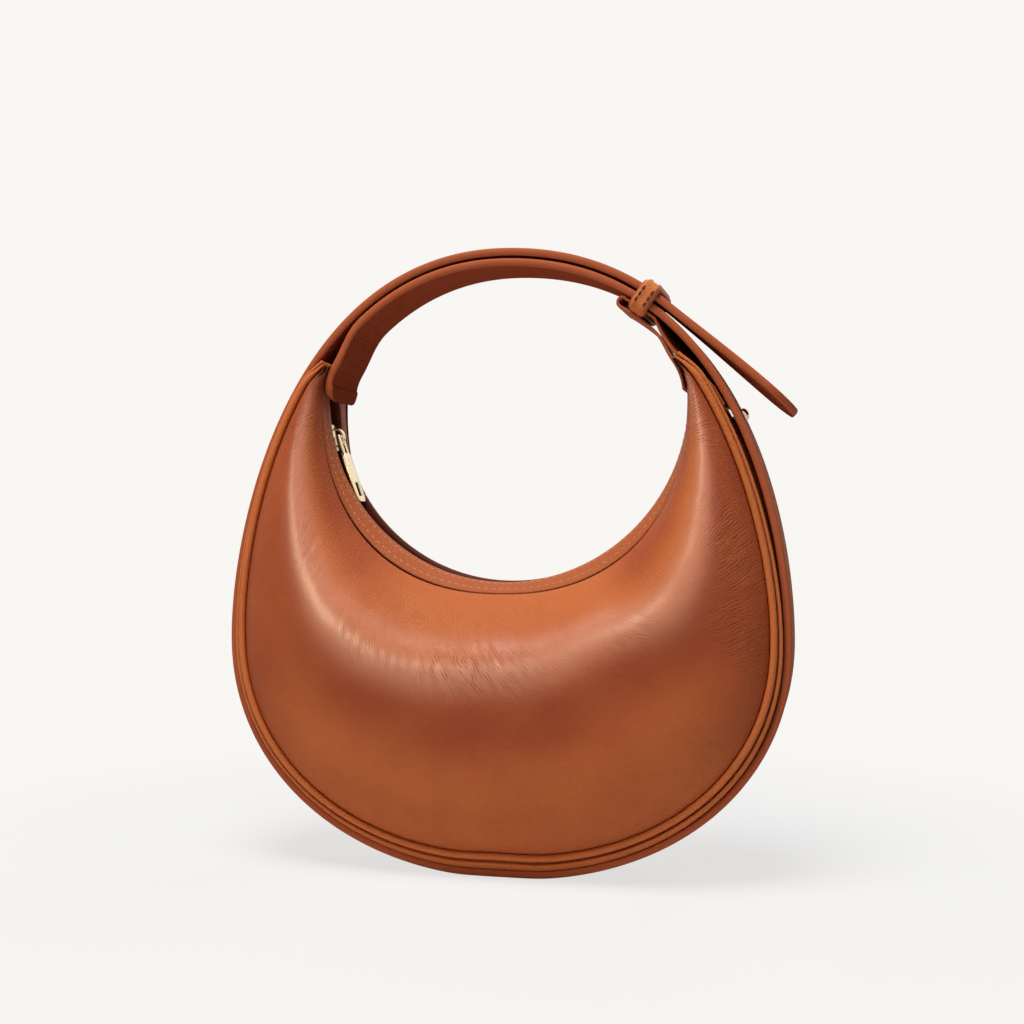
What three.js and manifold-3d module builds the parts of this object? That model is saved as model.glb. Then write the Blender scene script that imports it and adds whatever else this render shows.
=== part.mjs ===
// A crescent handbag: two puffed leather panels on a gusset, a curved zip in the mouth, and one long belt
// that wraps the outside and doubles over the top as the handle.
// Millimetres, +Z up, front faces -Y. The origin is the middle of the flat the bag stands on.
import * as THREE from "three";
import { mergeVertices } from "three/addons/utils/BufferGeometryUtils.js";
import Module from "manifold-3d";

const wasm = await Module();
wasm.setup();

// Outline of the bag, on the outer face of the belt
const BELLY_HALF = 116.4; // half width at the widest level
const BELLY_Z = 95.5; // height of the widest level
const TOP_Z = 254.5; // top of the handle
const BASE_SINK = 0.7; // depth of the base curve that is pressed flat
const BASE_POWER = 2.1; // 2 is an ellipse, more is squarer
const FLANK_PULL = 50; // how far the flank keeps upright above the belly
const SHOULDER_PULL = 88; // how far the crown keeps level on the left
const CROWN_PULL = 84; // the same for the bag on the right
const FLARE_PULL = 95.5; // the same for the belt on the right, where it stands off the bag

// Belt
const BELT_WIDTH = 33;
const BELT_THICK = 3.1;
const LAYER_GAP = 1.1; // air between the two layers of the handle
const HANDLE_HINGE_Z = 200; // level that the handle tilts about
const TAIL_LENGTH = 66.5;
const TAIL_DROOP = 2.5; // degrees that the free tail bends down over its length
const TAIL_TIP_SHARE = 0.91; // corner radius of the tip, as a share of half the width
const KEEPER_LENGTH = 8;
const KEEPER_THICK = 1.8;
const CHAPE_WIDTH = 31;
const CHAPE_THICK = 1.3;
const CHAPE_REACH = 7; // fold beyond the middle of the keeper
const CHAPE_BOW = 3; // how far the chape's outer leg bows away from the belt

// Bag shell
const EDGE_MARGIN = 3.1; // gusset that shows on each side of the belt
const GUSSET_THICK = 1.6;
const GUSSET_TURN = 0.4; // how round the gusset's turned-up edge is
const PIPING_RADIUS = 1.4;
const PANEL_THICK = 1.6;
const LINING_THICK = 0.6;
const STIFFENER_THICK = 1.2;
const SEAM_DROP_BASE = 9.4; // belt's outer face to the panel seam, under the bag
const SEAM_DROP_BELLY = 6.8; // the same at the widest level
const SEAM_DROP_HORN = 4.2; // the same at the tip of a horn
const PUFF = 33; // how far the panel swells beyond its seams at the middle
const PUFF_FADE = 0.6; // how quickly the swell follows the width of the panel
const RIDGE_AT = 0.18; // where the swell starts, as a share of the panel's width
const BELLY_AT = 0.62; // where it ends

// Mouth and zip
const POUCH_HEIGHT = 114.7; // base to the mouth seam at the middle
const MOUTH_DEPTH = 80; // mouth seam at the middle to the mouth's centre
const MOUTH_POWER = 2.3;
const HORN_WIDTH = 13.4; // belt's outer face to the mouth seam, level with the mouth's centre
const HORN_TIP = 1.8; // width of the panel at the tip of a horn
const MOUTH_INSET_Y = 4.6; // gusset's edge in to the mouth seam
const FACING_THICK = 1.3;
const FACING_RISE = 4.25; // mouth seam up to the facing's top, at the middle
const FACING_LIP_Y = 5; // half width of the slot over the zip
const FACING_FLAT_Y = 9.2; // where the facing starts to slope
const ZIP_SINK = 4.3; // facing's top down to the zip's tape
const TAPE_THICK = 0.8;
const TAPE_OUTER_Y = 8.5;
const CHAIN_SLOT = 0.8; // half the slot that the slider's post runs in
const CHAIN_WIDTH = 1.8;
const CHAIN_THICK = 3.2;
const SLIDER_LENGTH = 12;
const SLIDER_WIDTH = 9.2;
const SLIDER_WALL = 1.5;
const SLIDER_POST_WIDTH = 1;
const SLIDER_POST_LENGTH = 3;
const BAIL_RADIUS = 4.2;
const BAIL_WIRE = 1.2;
const BAIL_WIDTH = 2;
const PULLER_LENGTH = 29.5; // pivot to tip
const PULLER_WIDTH = 9;
const PULLER_THICK = 1.6;
const PULLER_FORK = 7.5; // length of the fork that carries the pin
const PULLER_PRONG = 1.2;
const PULLER_PIN_RADIUS = 0.8;
const PULLER_CORNER_SHARE = 0.6; // corner radius of the bar, as a share of half the width
const PULLER_SINK = 1.2; // how far the tip lies down in the slot
const PULLER_WINDOW = [6, 4.6]; // length and width of the window in the bar
const PULLER_END_BAR = 2.6; // metal left beyond the window

// Stud through the belt
const STUD_RADIUS = 2.6;
const STUD_DOME = 1.7;
const STUD_POST_RADIUS = 1.1;
const WASHER_RADIUS = 3.4;
const WASHER_THICK = 0.8;

// Fits
const GAP = 0.35; // between leather pieces that touch
const SLIDE_GAP = 0.35; // between the slider and its track
const FACING_CLEAR = 2.5; // facing's end from the belt's end over the left horn
const OVERLAP = 0.4; // how far joined lumps run into each other

// Places along a half outline: 0 is the base, 1 the belly and 2 the crown
const HORN_U = 1.6; // tip of a horn
const TONGUE_U = 1.603; // end of the gusset, inside the belt
const BELT_END_U = 1.545; // end of the belt, sewn over the left horn
const BELT_MEETS_U = 0.11; // from the horn's tip to where the inner layer joins the outer one
const LEFT_FLEX_U = [1.56, 1.72]; // belt that bends when the handle tilts
const RIGHT_FLEX_U = [1.5, 1.69];
const STUD_U = 1.474;
const KEEPER_U = 1.745;
const CHAPE_OUTER_U = 1.5; // end of the chape's outer leg, over the gusset
const CHAPE_BOW_U = 1.62; // where the outer leg comes back to the belt
const CHAPE_INNER_U = 1.545; // end of its inner leg, inside the right horn
const END_CLEAR_U = 0.02; // shortest step before an end
const NUDGE_U = 1e-3; // step that gives a line's direction
const STIFFENER_U = 1;
const GUSSET_LINING_U = 1.3;

// Zip, in degrees round the mouth's centre
const ZIP_SLIDER_BACK = 9; // slider from the zip's left end
const ZIP_RIGHT_BACK = 22; // zip's right end from the facing's end
const ZIP_STOP_ANGLE = 1.8;
const ZIP_END_TAB_ANGLE = 9;
const LINING_ANGLE = 70; // reach of the panel linings to each side
const POCKET_ANGLE = 34;

// Counts
const BASE_STEPS = 9;
const FLANK_STEPS = 8;
const PANEL_STEPS = 8;
const PIPING_SIDES = 6;
const ARC_STEP = 5; // degrees for each facet of the zip
const HANDLE_STEPS = 8;
const FLEX_STEPS = 6;
const END_STEPS = 6;
const TAIL_STEPS = 10;
const CHAPE_STEPS = 16;
const FOLD_STEPS = 6;
const ROUND_SIDES = 16;
const CURVE_SEGMENTS = 8;
const DOME_STEPS = 4;

const LAYER_STEP = BELT_THICK + LAYER_GAP;
const GUSSET_INSET = BELT_THICK + GAP;
const GUSSET_HALF = BELT_WIDTH / 2 + EDGE_MARGIN;
const PIPING_Y = GUSSET_HALF + PIPING_RADIUS / 2;
const MOUTH_HALF_Y = GUSSET_HALF - MOUTH_INSET_Y;
const MOUTH_Z = POUCH_HEIGHT + MOUTH_DEPTH;
const FACING_RADIUS = MOUTH_DEPTH - FACING_RISE;
const TAPE_RADIUS = FACING_RADIUS + ZIP_SINK + GAP; // side of the tape that faces the hand
const CHAIN_RADIUS = TAPE_RADIUS + (TAPE_THICK - CHAIN_THICK) / 2;
const CHAIN_OUTER_Y = CHAIN_SLOT + CHAIN_WIDTH;

const degrees = THREE.MathUtils.degToRad;
const ease = (x) => THREE.MathUtils.smoothstep(x, 0, 1);
const mix = THREE.MathUtils.lerp;
const flat = (x, z) => new THREE.Vector2(x, z);
const mirrored = (p) => flat(-p.x, p.y);
const range = (count) => Array.from({ length: count + 1 }, (_, i) => i / count);

// Finds where a rising function passes a value.
function solve(value, low, high, wanted) {
  for (let i = 0; i < 60; i++) {
    const middle = (low + high) / 2;
    if (value(middle) < wanted) low = middle;
    else high = middle;
  }
  return (low + high) / 2;
}

// Outline: a quarter of a squared ellipse up to the belly.
function lowerQuarter(u) {
  const angle = (Math.min(u, 1) * Math.PI) / 2;
  const power = 2 / BASE_POWER;
  const drop = (BELLY_Z + BASE_SINK) * Math.max(Math.cos(angle), 0) ** power;
  return flat(BELLY_HALF * Math.sin(angle) ** power, BELLY_Z - drop);
}

// Half an outline on the right side: a place along it and a distance inwards give a point.
function halfLine(crownPull, crownZ) {
  const flank = new THREE.CubicBezierCurve(
    flat(BELLY_HALF, BELLY_Z),
    flat(BELLY_HALF, BELLY_Z + FLANK_PULL),
    flat(crownPull, crownZ),
    flat(0, crownZ),
  );
  const on = (u) => (u <= 1 ? lowerQuarter(u) : flank.getPoint(u - 1));
  return (u, inset = 0) => {
    const along = on(Math.min(u + NUDGE_U, 2)).sub(on(Math.max(u - NUDGE_U, 0))).normalize();
    const spot = on(u);
    spot.x -= along.y * inset;
    spot.y += along.x * inset;
    spot.y = Math.max(spot.y, inset);
    return spot;
  };
}

const leftLine = halfLine(SHOULDER_PULL, TOP_Z);
const rightLine = halfLine(CROWN_PULL, TOP_Z);
const flareLine = halfLine(FLARE_PULL, TOP_Z - LAYER_STEP);
const FLAT_U = solve((u) => lowerQuarter(u).y, 0, 1, 0);

// Stations shared by the pieces that lie on each other, so that their facets match.
const halfStations = [
  FLAT_U,
  ...range(BASE_STEPS).slice(1).map((f) => mix(FLAT_U, 1, f)),
  ...range(FLANK_STEPS).slice(1).map((f) => mix(1, HORN_U, f)),
];
const stations = [...halfStations.map((u) => -u).reverse(), ...halfStations];

// A point of the bag's outline at a station, which is negative on the left.
function bodyPoint(station, inset) {
  return station < 0 ? mirrored(leftLine(-station, inset)) : rightLine(station, inset);
}

function seamDrop(u) {
  if (u <= 1) return mix(SEAM_DROP_BASE, SEAM_DROP_BELLY, u);
  return mix(SEAM_DROP_BELLY, SEAM_DROP_HORN, (u - 1) / (HORN_U - 1));
}

// Geometry from points and triangles, turned outwards if it came out inside out.
function closedGeometry(points, triangles) {
  let volume = 0;
  const cross = new THREE.Vector3();
  for (let i = 0; i < triangles.length; i += 3) {
    const [a, b, c] = [0, 1, 2].map((k) => points[triangles[i + k]]);
    volume += a.dot(cross.crossVectors(b, c));
  }
  const turned = [...triangles];
  if (volume < 0) turned.reverse();
  const geometry = new THREE.BufferGeometry();
  const numbers = points.flatMap((p) => p.toArray());
  geometry.setAttribute("position", new THREE.Float32BufferAttribute(numbers, 3));
  geometry.setIndex(turned);
  geometry.computeVertexNormals();
  return geometry;
}

// A thick sheet between two grids of points.
function slab(outer, inner) {
  const rows = outer.length;
  const columns = outer[0].length;
  const points = [...outer.flat(), ...inner.flat()];
  const at = (side, row, column) => side * rows * columns + row * columns + column;
  const triangles = [];
  const quad = (a, b, c, d) => triangles.push(a, b, c, a, c, d);
  for (let i = 0; i + 1 < rows; i++)
    for (let j = 0; j + 1 < columns; j++) {
      quad(at(0, i, j), at(0, i, j + 1), at(0, i + 1, j + 1), at(0, i + 1, j));
      quad(at(1, i, j), at(1, i + 1, j), at(1, i + 1, j + 1), at(1, i, j + 1));
    }
  for (let i = 0; i + 1 < rows; i++) {
    quad(at(0, i, 0), at(0, i + 1, 0), at(1, i + 1, 0), at(1, i, 0));
    const j = columns - 1;
    quad(at(0, i, j), at(1, i, j), at(1, i + 1, j), at(0, i + 1, j));
  }
  for (let j = 0; j + 1 < columns; j++) {
    quad(at(0, 0, j), at(1, 0, j), at(1, 0, j + 1), at(0, 0, j + 1));
    const i = rows - 1;
    quad(at(0, i, j), at(0, i, j + 1), at(1, i, j + 1), at(1, i, j));
  }
  return closedGeometry(points, triangles);
}

// A rod through equal rings of points, capped at both ends.
function rod(rings) {
  const sides = rings[0].length;
  const triangles = [];
  for (let i = 0; i + 1 < rings.length; i++)
    for (let j = 0; j < sides; j++) {
      const [a, b] = [i * sides + j, i * sides + ((j + 1) % sides)];
      triangles.push(a, b, b + sides, a, b + sides, a + sides);
    }
  const last = (rings.length - 1) * sides;
  for (let j = 1; j + 1 < sides; j++) triangles.push(0, j + 1, j, last, last + j, last + j + 1);
  return closedGeometry(rings.flat(), triangles);
}

// A flat outline carried straight up.
function extruded(shape, depth) {
  return new THREE.ExtrudeGeometry(shape, { depth, bevelEnabled: false, curveSegments: CURVE_SEGMENTS });
}

// A band drawn in the XZ plane between two edges and carried across the bag's depth.
function ribbon(outer, inner, width) {
  const shape = new THREE.Shape([...outer, ...[...inner].reverse()]);
  return extruded(shape, width).rotateX(Math.PI / 2).translate(0, width / 2, 0);
}

// A closed geometry as a solid for cutting and joining, and back.
function solidOf(geometry) {
  const bare = geometry.clone();
  bare.deleteAttribute("normal");
  bare.deleteAttribute("uv");
  const merged = mergeVertices(bare, 1e-4);
  const triVerts = new Uint32Array(merged.index.array);
  return new wasm.Manifold(
    new wasm.Mesh({ numProp: 3, vertProperties: merged.attributes.position.array, triVerts }),
  );
}

function geometryOf(solid) {
  const mesh = solid.getMesh();
  const geometry = new THREE.BufferGeometry();
  geometry.setAttribute("position", new THREE.BufferAttribute(mesh.vertProperties, 3));
  geometry.setIndex(new THREE.BufferAttribute(mesh.triVerts, 1));
  geometry.computeVertexNormals();
  return geometry;
}

const joined = (...geometries) => geometryOf(geometries.map(solidOf).reduce((a, b) => a.add(b)));
const cut = (geometry, tool) => geometryOf(solidOf(geometry).subtract(solidOf(tool)));

// Finishes
function finish(color, roughness, metalness) {
  return new THREE.MeshStandardMaterial({ color, roughness, metalness });
}
const leather = finish(0xa85a34, 0.45, 0);
const beltLeather = finish(0x9c4f30, 0.5, 0);
const tapeCloth = finish(0x5a2a1c, 0.85, 0);
const coil = finish(0x3a1c12, 0.55, 0);
const liningCloth = finish(0x8a6a50, 0.9, 0);
const board = finish(0x6e5a46, 0.9, 0);
const gold = finish(0xd9b77a, 0.28, 1);

const bag = new THREE.Group();

// A group at a pivot, whose pieces are drawn in the bag's frame.
function pivotGroup(parent, x, z) {
  const group = new THREE.Group();
  group.userData.pivot = new THREE.Vector3(x, 0, z);
  group.position.copy(group.userData.pivot);
  if (parent.userData.pivot) group.position.sub(parent.userData.pivot);
  parent.add(group);
  return group;
}

function add(parent, name, geometry, material) {
  const pivot = parent.userData.pivot;
  if (pivot) geometry.translate(-pivot.x, -pivot.y, -pivot.z);
  const mesh = new THREE.Mesh(geometry, material);
  mesh.name = name;
  parent.add(mesh);
  return mesh;
}

// Mouth: polar round the mouth's centre, with the angle from straight down.
function polar(angle, radius) {
  return flat(radius * Math.sin(angle), MOUTH_Z - radius * Math.cos(angle));
}
function polarOf(spot) {
  return [Math.atan2(spot.x, MOUTH_Z - spot.y), Math.hypot(spot.x, MOUTH_Z - spot.y)];
}
const centreU = solve((u) => rightLine(u).y, 1, 2, MOUTH_Z);
const MOUTH_HALF_X = rightLine(centreU).x - HORN_WIDTH;

// Above its centre each side of the mouth is part of an ellipse that runs out at the tip of the horn.
function mouthTop(line) {
  const [angle, seam] = polarOf(line(HORN_U, SEAM_DROP_HORN + PIPING_RADIUS + GAP));
  const edge = polar(angle, seam - HORN_TIP);
  return (edge.y - MOUTH_Z) / Math.sqrt(1 - (edge.x / MOUTH_HALF_X) ** 2);
}
const LEFT_MOUTH_TOP = mouthTop(leftLine);
const RIGHT_MOUTH_TOP = mouthTop(rightLine);
function mouthRadius(angle) {
  const above = Math.abs(angle) > Math.PI / 2;
  const power = above ? 2 : MOUTH_POWER;
  const top = angle < 0 ? LEFT_MOUTH_TOP : RIGHT_MOUTH_TOP;
  const across = Math.abs(Math.sin(angle)) / MOUTH_HALF_X;
  const down = Math.abs(Math.cos(angle)) / (above ? top : MOUTH_DEPTH);
  return (across ** power + down ** power) ** (-1 / power);
}

// Panels: each station has a section from the mouth seam to the outer seam.
const PUFF_SPAN = MOUTH_Z - SEAM_DROP_BASE - MOUTH_DEPTH;
function panelSection(station) {
  const drop = seamDrop(Math.abs(station)) + PIPING_RADIUS + GAP;
  const [angle, seam] = polarOf(bodyPoint(station, drop));
  const mouth = mouthRadius(angle);
  const span = seam - mouth;
  const puff = PUFF * (span / PUFF_SPAN) ** PUFF_FADE;
  const curve = new THREE.CubicBezierCurve(
    flat(mouth, MOUTH_HALF_Y),
    flat(mouth + RIDGE_AT * span, MOUTH_HALF_Y + puff),
    flat(mouth + BELLY_AT * span, PIPING_Y + puff),
    flat(seam, PIPING_Y),
  );
  return { angle, mouth, curve };
}

// A point of a panel: a share of the way along its section, and a depth under its outer face.
function panelPoint(section, share, depth, side) {
  const spot = section.curve.getPoint(share);
  const along = section.curve.getTangent(share);
  const place = polar(section.angle, spot.x + along.y * depth);
  return new THREE.Vector3(place.x, side * (spot.y - along.x * depth), place.y);
}

function panelSheet(sections, shares, depth, thick, side) {
  const face = (d) => sections.map((s) => shares.map((v) => panelPoint(s, v, d, side)));
  return slab(face(depth), face(depth + thick));
}

const sections = stations.map(panelSection);

// The mouth's edge as the panels' facets make it.
function mouthEdge(angle) {
  const last = sections.length - 1;
  const next = sections.findIndex((s) => s.angle > angle);
  const [a, b] = next < 1 ? [sections[last - 1], sections[last]] : [sections[next - 1], sections[next]];
  const slant = a.mouth * Math.sin(angle - a.angle) + b.mouth * Math.sin(b.angle - angle);
  return (a.mouth * b.mouth * Math.sin(b.angle - a.angle)) / slant;
}

const panelShares = range(PANEL_STEPS);
const within = (reach) => sections.filter((s) => Math.abs(s.angle) < degrees(reach));
const liningSections = within(LINING_ANGLE);
const liningShares = panelShares.slice(1, -1); // a step in from the seams
const pocketSections = within(POCKET_ANGLE);
const pocketShares = panelShares.slice(3, -2); // the middle of the panel
const LINING_DEPTH = PANEL_THICK + GAP;
const POCKET_DEPTH = LINING_DEPTH + LINING_THICK + GAP;

for (const [word, side] of [["front", -1], ["back", 1]]) {
  const skin = panelSheet(sections, panelShares, 0, PANEL_THICK, side);
  add(bag, `${word}_panel`, skin, leather);
  const lining = panelSheet(liningSections, liningShares, LINING_DEPTH, LINING_THICK, side);
  add(bag, `${word}_lining`, lining, liningCloth);
}
const pocket = panelSheet(pocketSections, pocketShares, POCKET_DEPTH, LINING_THICK, 1);
add(bag, "slip_pocket", pocket, liningCloth);

// Piping in the two outer seams
for (const [word, side] of [["front", -1], ["back", 1]]) {
  const rings = stations.map((station) => {
    const drop = seamDrop(Math.abs(station));
    return range(PIPING_SIDES).slice(1).map((turn) => {
      const angle = turn * 2 * Math.PI;
      const spot = bodyPoint(station, drop + PIPING_RADIUS * Math.cos(angle));
      return new THREE.Vector3(spot.x, side * PIPING_Y + PIPING_RADIUS * Math.sin(angle), spot.y);
    });
  });
  add(bag, `${word}_piping`, rod(rings), leather);
}

// Gusset: flat under the belt, turned up at its edges to meet the piping.
const gussetStations = [-TONGUE_U, ...stations, TONGUE_U];
function gussetRow(station, depth) {
  const drop = seamDrop(Math.min(Math.abs(station), HORN_U));
  const edge = drop - PIPING_RADIUS - GAP - GUSSET_THICK;
  const floor = BELT_WIDTH / 2 + GAP;
  const turnY = (GUSSET_HALF + floor) / 2 - depth / 3;
  const across = [
    [GUSSET_HALF, edge + depth],
    [turnY, mix(GUSSET_INSET, edge, GUSSET_TURN) + depth],
    [floor - depth, GUSSET_INSET + depth],
  ];
  const row = [...across.map(([y, inset]) => [-y, inset]), ...[...across].reverse()];
  return row.map(([y, inset]) => {
    const spot = bodyPoint(station, inset);
    return new THREE.Vector3(spot.x, y, spot.y);
  });
}
const gussetGrid = (depth) => gussetStations.map((s) => gussetRow(s, depth));
const gussetSheet = slab(gussetGrid(0), gussetGrid(GUSSET_THICK));

// Board and lining inside the gusset
const STIFFENER_INSET = GUSSET_INSET + GUSSET_THICK + GAP;
const LINING_INSET = STIFFENER_INSET + STIFFENER_THICK + GAP;
function innerBand(reach, inset, thick, width) {
  const used = stations.filter((s) => Math.abs(s) <= reach);
  const edge = (depth) => used.map((s) => bodyPoint(s, depth));
  return ribbon(edge(inset), edge(inset + thick), width);
}
const INNER_BAND_WIDTH = BELT_WIDTH - 2 * GUSSET_THICK;
const stiffener = innerBand(STIFFENER_U, STIFFENER_INSET, STIFFENER_THICK, INNER_BAND_WIDTH);
add(bag, "gusset_stiffener", stiffener, board);
const gussetLining = innerBand(GUSSET_LINING_U, LINING_INSET, LINING_THICK, INNER_BAND_WIDTH);
add(bag, "gusset_lining", gussetLining, liningCloth);

// Inset at which a strap lies over a horn's mouth edge
function mouthInset(station) {
  const clearance = (inset) => {
    const [angle, radius] = polarOf(bodyPoint(station, inset));
    return mouthEdge(angle) - radius;
  };
  return solve(clearance, 0, BELLY_HALF / 2, 2 * GAP);
}

// Place along the outline that is level with the corner at a horn's tip
function tipOf(section, side) {
  const corner = polar(section.angle, section.mouth);
  const past = (u) => {
    const spot = bodyPoint(side * u, 0);
    const way = spot.clone().sub(bodyPoint(side * (u - NUDGE_U), 0));
    return spot.sub(corner).dot(way);
  };
  return solve(past, 1, 2, 0);
}
const LEFT_TIP_U = tipOf(sections[0], -1);
const RIGHT_TIP_U = tipOf(sections[sections.length - 1], 1);

// The belt's inner end lies over the left horn, and the facings stop short of it.
const beltEnd = bodyPoint(-BELT_END_U, mouthInset(-BELT_END_U) + BELT_THICK);
const [endAngle, endRadius] = polarOf(mirrored(beltEnd));
const FACING_END = endAngle - FACING_CLEAR / endRadius;
const ZIP_LEFT = -FACING_END;
const ZIP_RIGHT = FACING_END - degrees(ZIP_RIGHT_BACK);
const ZIP_SLIDER = ZIP_LEFT + degrees(ZIP_SLIDER_BACK);

// Facings round the mouth: each slopes in from the seam, and its lip turns down to the zip.
const innerAngles = sections.map((s) => s.angle).filter((angle) => Math.abs(angle) < FACING_END);
const facingAngles = [-FACING_END, ...innerAngles, FACING_END];
const hemRadius = FACING_RADIUS + ZIP_SINK;
for (const [word, side] of [["front", -1], ["back", 1]]) {
  const face = (depth) =>
    facingAngles.map((angle) => {
      const across = [
        [mouthEdge(angle) - GAP - FACING_THICK + depth, MOUTH_HALF_Y],
        [FACING_RADIUS + depth, FACING_FLAT_Y],
        [FACING_RADIUS + depth, FACING_LIP_Y + depth],
        [hemRadius, FACING_LIP_Y + depth],
      ];
      return across.map(([radius, y]) => {
        const spot = polar(angle, radius);
        return new THREE.Vector3(spot.x, side * y, spot.y);
      });
    });
  add(bag, `${word}_facing`, slab(face(0), face(FACING_THICK)), leather);
}

// A curved bar on the zip's circle, between two radii, two angles and two depths.
function arcBar(radii, angles, depths) {
  const count = Math.max(2, Math.ceil(THREE.MathUtils.radToDeg(angles[1] - angles[0]) / ARC_STEP));
  const edge = (radius) => range(count).map((f) => polar(mix(angles[0], angles[1], f), radius));
  const middle = (depths[0] + depths[1]) / 2;
  return ribbon(edge(radii[1]), edge(radii[0]), depths[1] - depths[0]).translate(0, middle, 0);
}

// Zip tapes, chains, stops and end tab
const chainRadii = [CHAIN_RADIUS, CHAIN_RADIUS + CHAIN_THICK];
const tapeRadii = [TAPE_RADIUS, TAPE_RADIUS + TAPE_THICK];
const stopTurn = degrees(ZIP_STOP_ANGLE);
const endGap = GAP / TAPE_RADIUS;
for (const [word, side] of [["front", -1], ["back", 1]]) {
  const between = (a, b) => [side * a, side * b].sort((p, q) => p - q);
  const tape = arcBar(tapeRadii, [ZIP_LEFT, ZIP_RIGHT], between(CHAIN_OUTER_Y + GAP, TAPE_OUTER_Y));
  add(bag, `zip_tape_${word}`, tape, tapeCloth);
  const run = [ZIP_LEFT + stopTurn + endGap, ZIP_RIGHT - stopTurn - endGap];
  add(bag, `zip_chain_${word}`, arcBar(chainRadii, run, between(CHAIN_SLOT, CHAIN_OUTER_Y)), coil);
}
const stopDepths = [-CHAIN_OUTER_Y, CHAIN_OUTER_Y];
add(bag, "zip_top_stop", arcBar(chainRadii, [ZIP_LEFT, ZIP_LEFT + stopTurn], stopDepths), gold);
add(bag, "zip_bottom_stop", arcBar(chainRadii, [ZIP_RIGHT - stopTurn, ZIP_RIGHT], stopDepths), gold);
const tabEnd = ZIP_RIGHT + degrees(ZIP_END_TAB_ANGLE);
const endTab = arcBar(tapeRadii, [ZIP_RIGHT + endGap, tabEnd], [-TAPE_OUTER_Y, TAPE_OUTER_Y]);
add(bag, "zip_end_tab", endTab, beltLeather);

// Slider: two wings joined by a post in the slot between the chains, and a bail for the puller.
// It is drawn at the bottom of the mouth and turned to its place about the mouth's centre.
const slider = new THREE.Group();
slider.position.z = MOUTH_Z;
slider.rotation.y = -ZIP_SLIDER;
bag.add(slider);
const centred = (geometry) => geometry.translate(0, 0, -MOUTH_Z);
const topInner = CHAIN_RADIUS - SLIDE_GAP;
const topOuter = topInner - SLIDER_WALL;
const baseInner = CHAIN_RADIUS + CHAIN_THICK + SLIDE_GAP;
const baseOuter = baseInner + SLIDER_WALL;
const halfTurn = SLIDER_LENGTH / 2 / CHAIN_RADIUS;
const postTurn = SLIDER_POST_LENGTH / 2 / CHAIN_RADIUS;
const sliderHalf = SLIDER_WIDTH / 2;
const lipInner = CHAIN_OUTER_Y + SLIDE_GAP;
const sliderTurn = [-halfTurn, halfTurn];
const sliderLumps = [
  arcBar([topOuter, topInner], sliderTurn, [-sliderHalf, sliderHalf]),
  arcBar([baseInner, baseOuter], sliderTurn, [-sliderHalf, sliderHalf]),
  arcBar(
    [topInner - OVERLAP, baseInner + OVERLAP],
    [-halfTurn, -halfTurn + 2 * postTurn],
    [-SLIDER_POST_WIDTH / 2, SLIDER_POST_WIDTH / 2],
  ),
];
for (const side of [-1, 1]) {
  const lip = [side * lipInner, side * sliderHalf].sort((a, b) => a - b);
  sliderLumps.push(arcBar([topInner - OVERLAP, TAPE_RADIUS - SLIDE_GAP], sliderTurn, lip));
  sliderLumps.push(arcBar([TAPE_RADIUS + TAPE_THICK + SLIDE_GAP, baseInner + OVERLAP], sliderTurn, lip));
}
add(slider, "zip_slider", centred(joined(...sliderLumps)), gold);

// The bail is an arch on the top wing, drawn across and upwards and carried sideways.
const bailFoot = -topOuter + SLIDE_GAP;
const bailShape = new THREE.Shape();
bailShape.absarc(0, 0, BAIL_RADIUS, 0, Math.PI, false);
bailShape.absarc(0, 0, BAIL_RADIUS - BAIL_WIRE, Math.PI, 0, true);
const bailArch = extruded(bailShape, BAIL_WIDTH);
bailArch.rotateX(Math.PI / 2).translate(0, BAIL_WIDTH / 2, bailFoot);
add(slider, "zip_bail", bailArch, gold);

// Puller: a fork with a pin through the bail, and a flat bar with a window. It rests along the zip.
const pivotRise = BAIL_RADIUS - BAIL_WIRE - PULLER_PIN_RADIUS - SLIDE_GAP;
const pivotRadius = -(bailFoot + pivotRise);
const tipRadius = FACING_RADIUS + PULLER_SINK;
const squares = pivotRadius ** 2 + PULLER_LENGTH ** 2 - tipRadius ** 2;
const lift = squares / (2 * pivotRadius * PULLER_LENGTH);
const puller = new THREE.Group();
puller.position.z = -pivotRadius;
puller.rotation.y = -Math.asin(lift);
slider.add(puller);
const prongInner = BAIL_WIDTH / 2 + SLIDE_GAP * 2;
const prongOuter = prongInner + PULLER_PRONG;
const barHalf = PULLER_WIDTH / 2;
const corner = PULLER_CORNER_SHARE * barHalf;
const plan = new THREE.Shape();
plan.moveTo(-PULLER_PIN_RADIUS, -prongOuter);
plan.lineTo(PULLER_FORK - corner, -prongOuter);
plan.quadraticCurveTo(PULLER_FORK, -prongOuter, PULLER_FORK, -barHalf);
plan.absarc(PULLER_LENGTH - corner, corner - barHalf, corner, -Math.PI / 2, 0, false);
plan.absarc(PULLER_LENGTH - corner, barHalf - corner, corner, 0, Math.PI / 2, false);
plan.lineTo(PULLER_FORK, barHalf);
plan.quadraticCurveTo(PULLER_FORK, prongOuter, PULLER_FORK - corner, prongOuter);
plan.lineTo(-PULLER_PIN_RADIUS, prongOuter);
plan.lineTo(-PULLER_PIN_RADIUS, prongInner);
plan.lineTo(PULLER_FORK - PULLER_PRONG, prongInner);
plan.lineTo(PULLER_FORK - PULLER_PRONG, -prongInner);
plan.lineTo(-PULLER_PIN_RADIUS, -prongInner);
const windowEnd = PULLER_LENGTH - PULLER_END_BAR;
const windowHalf = PULLER_WINDOW[1] / 2;
const pane = new THREE.Path();
pane.moveTo(windowEnd - PULLER_WINDOW[0], -windowHalf);
pane.lineTo(windowEnd - PULLER_WINDOW[0], windowHalf);
pane.lineTo(windowEnd, windowHalf);
pane.lineTo(windowEnd, -windowHalf);
plan.holes.push(pane);
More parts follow.
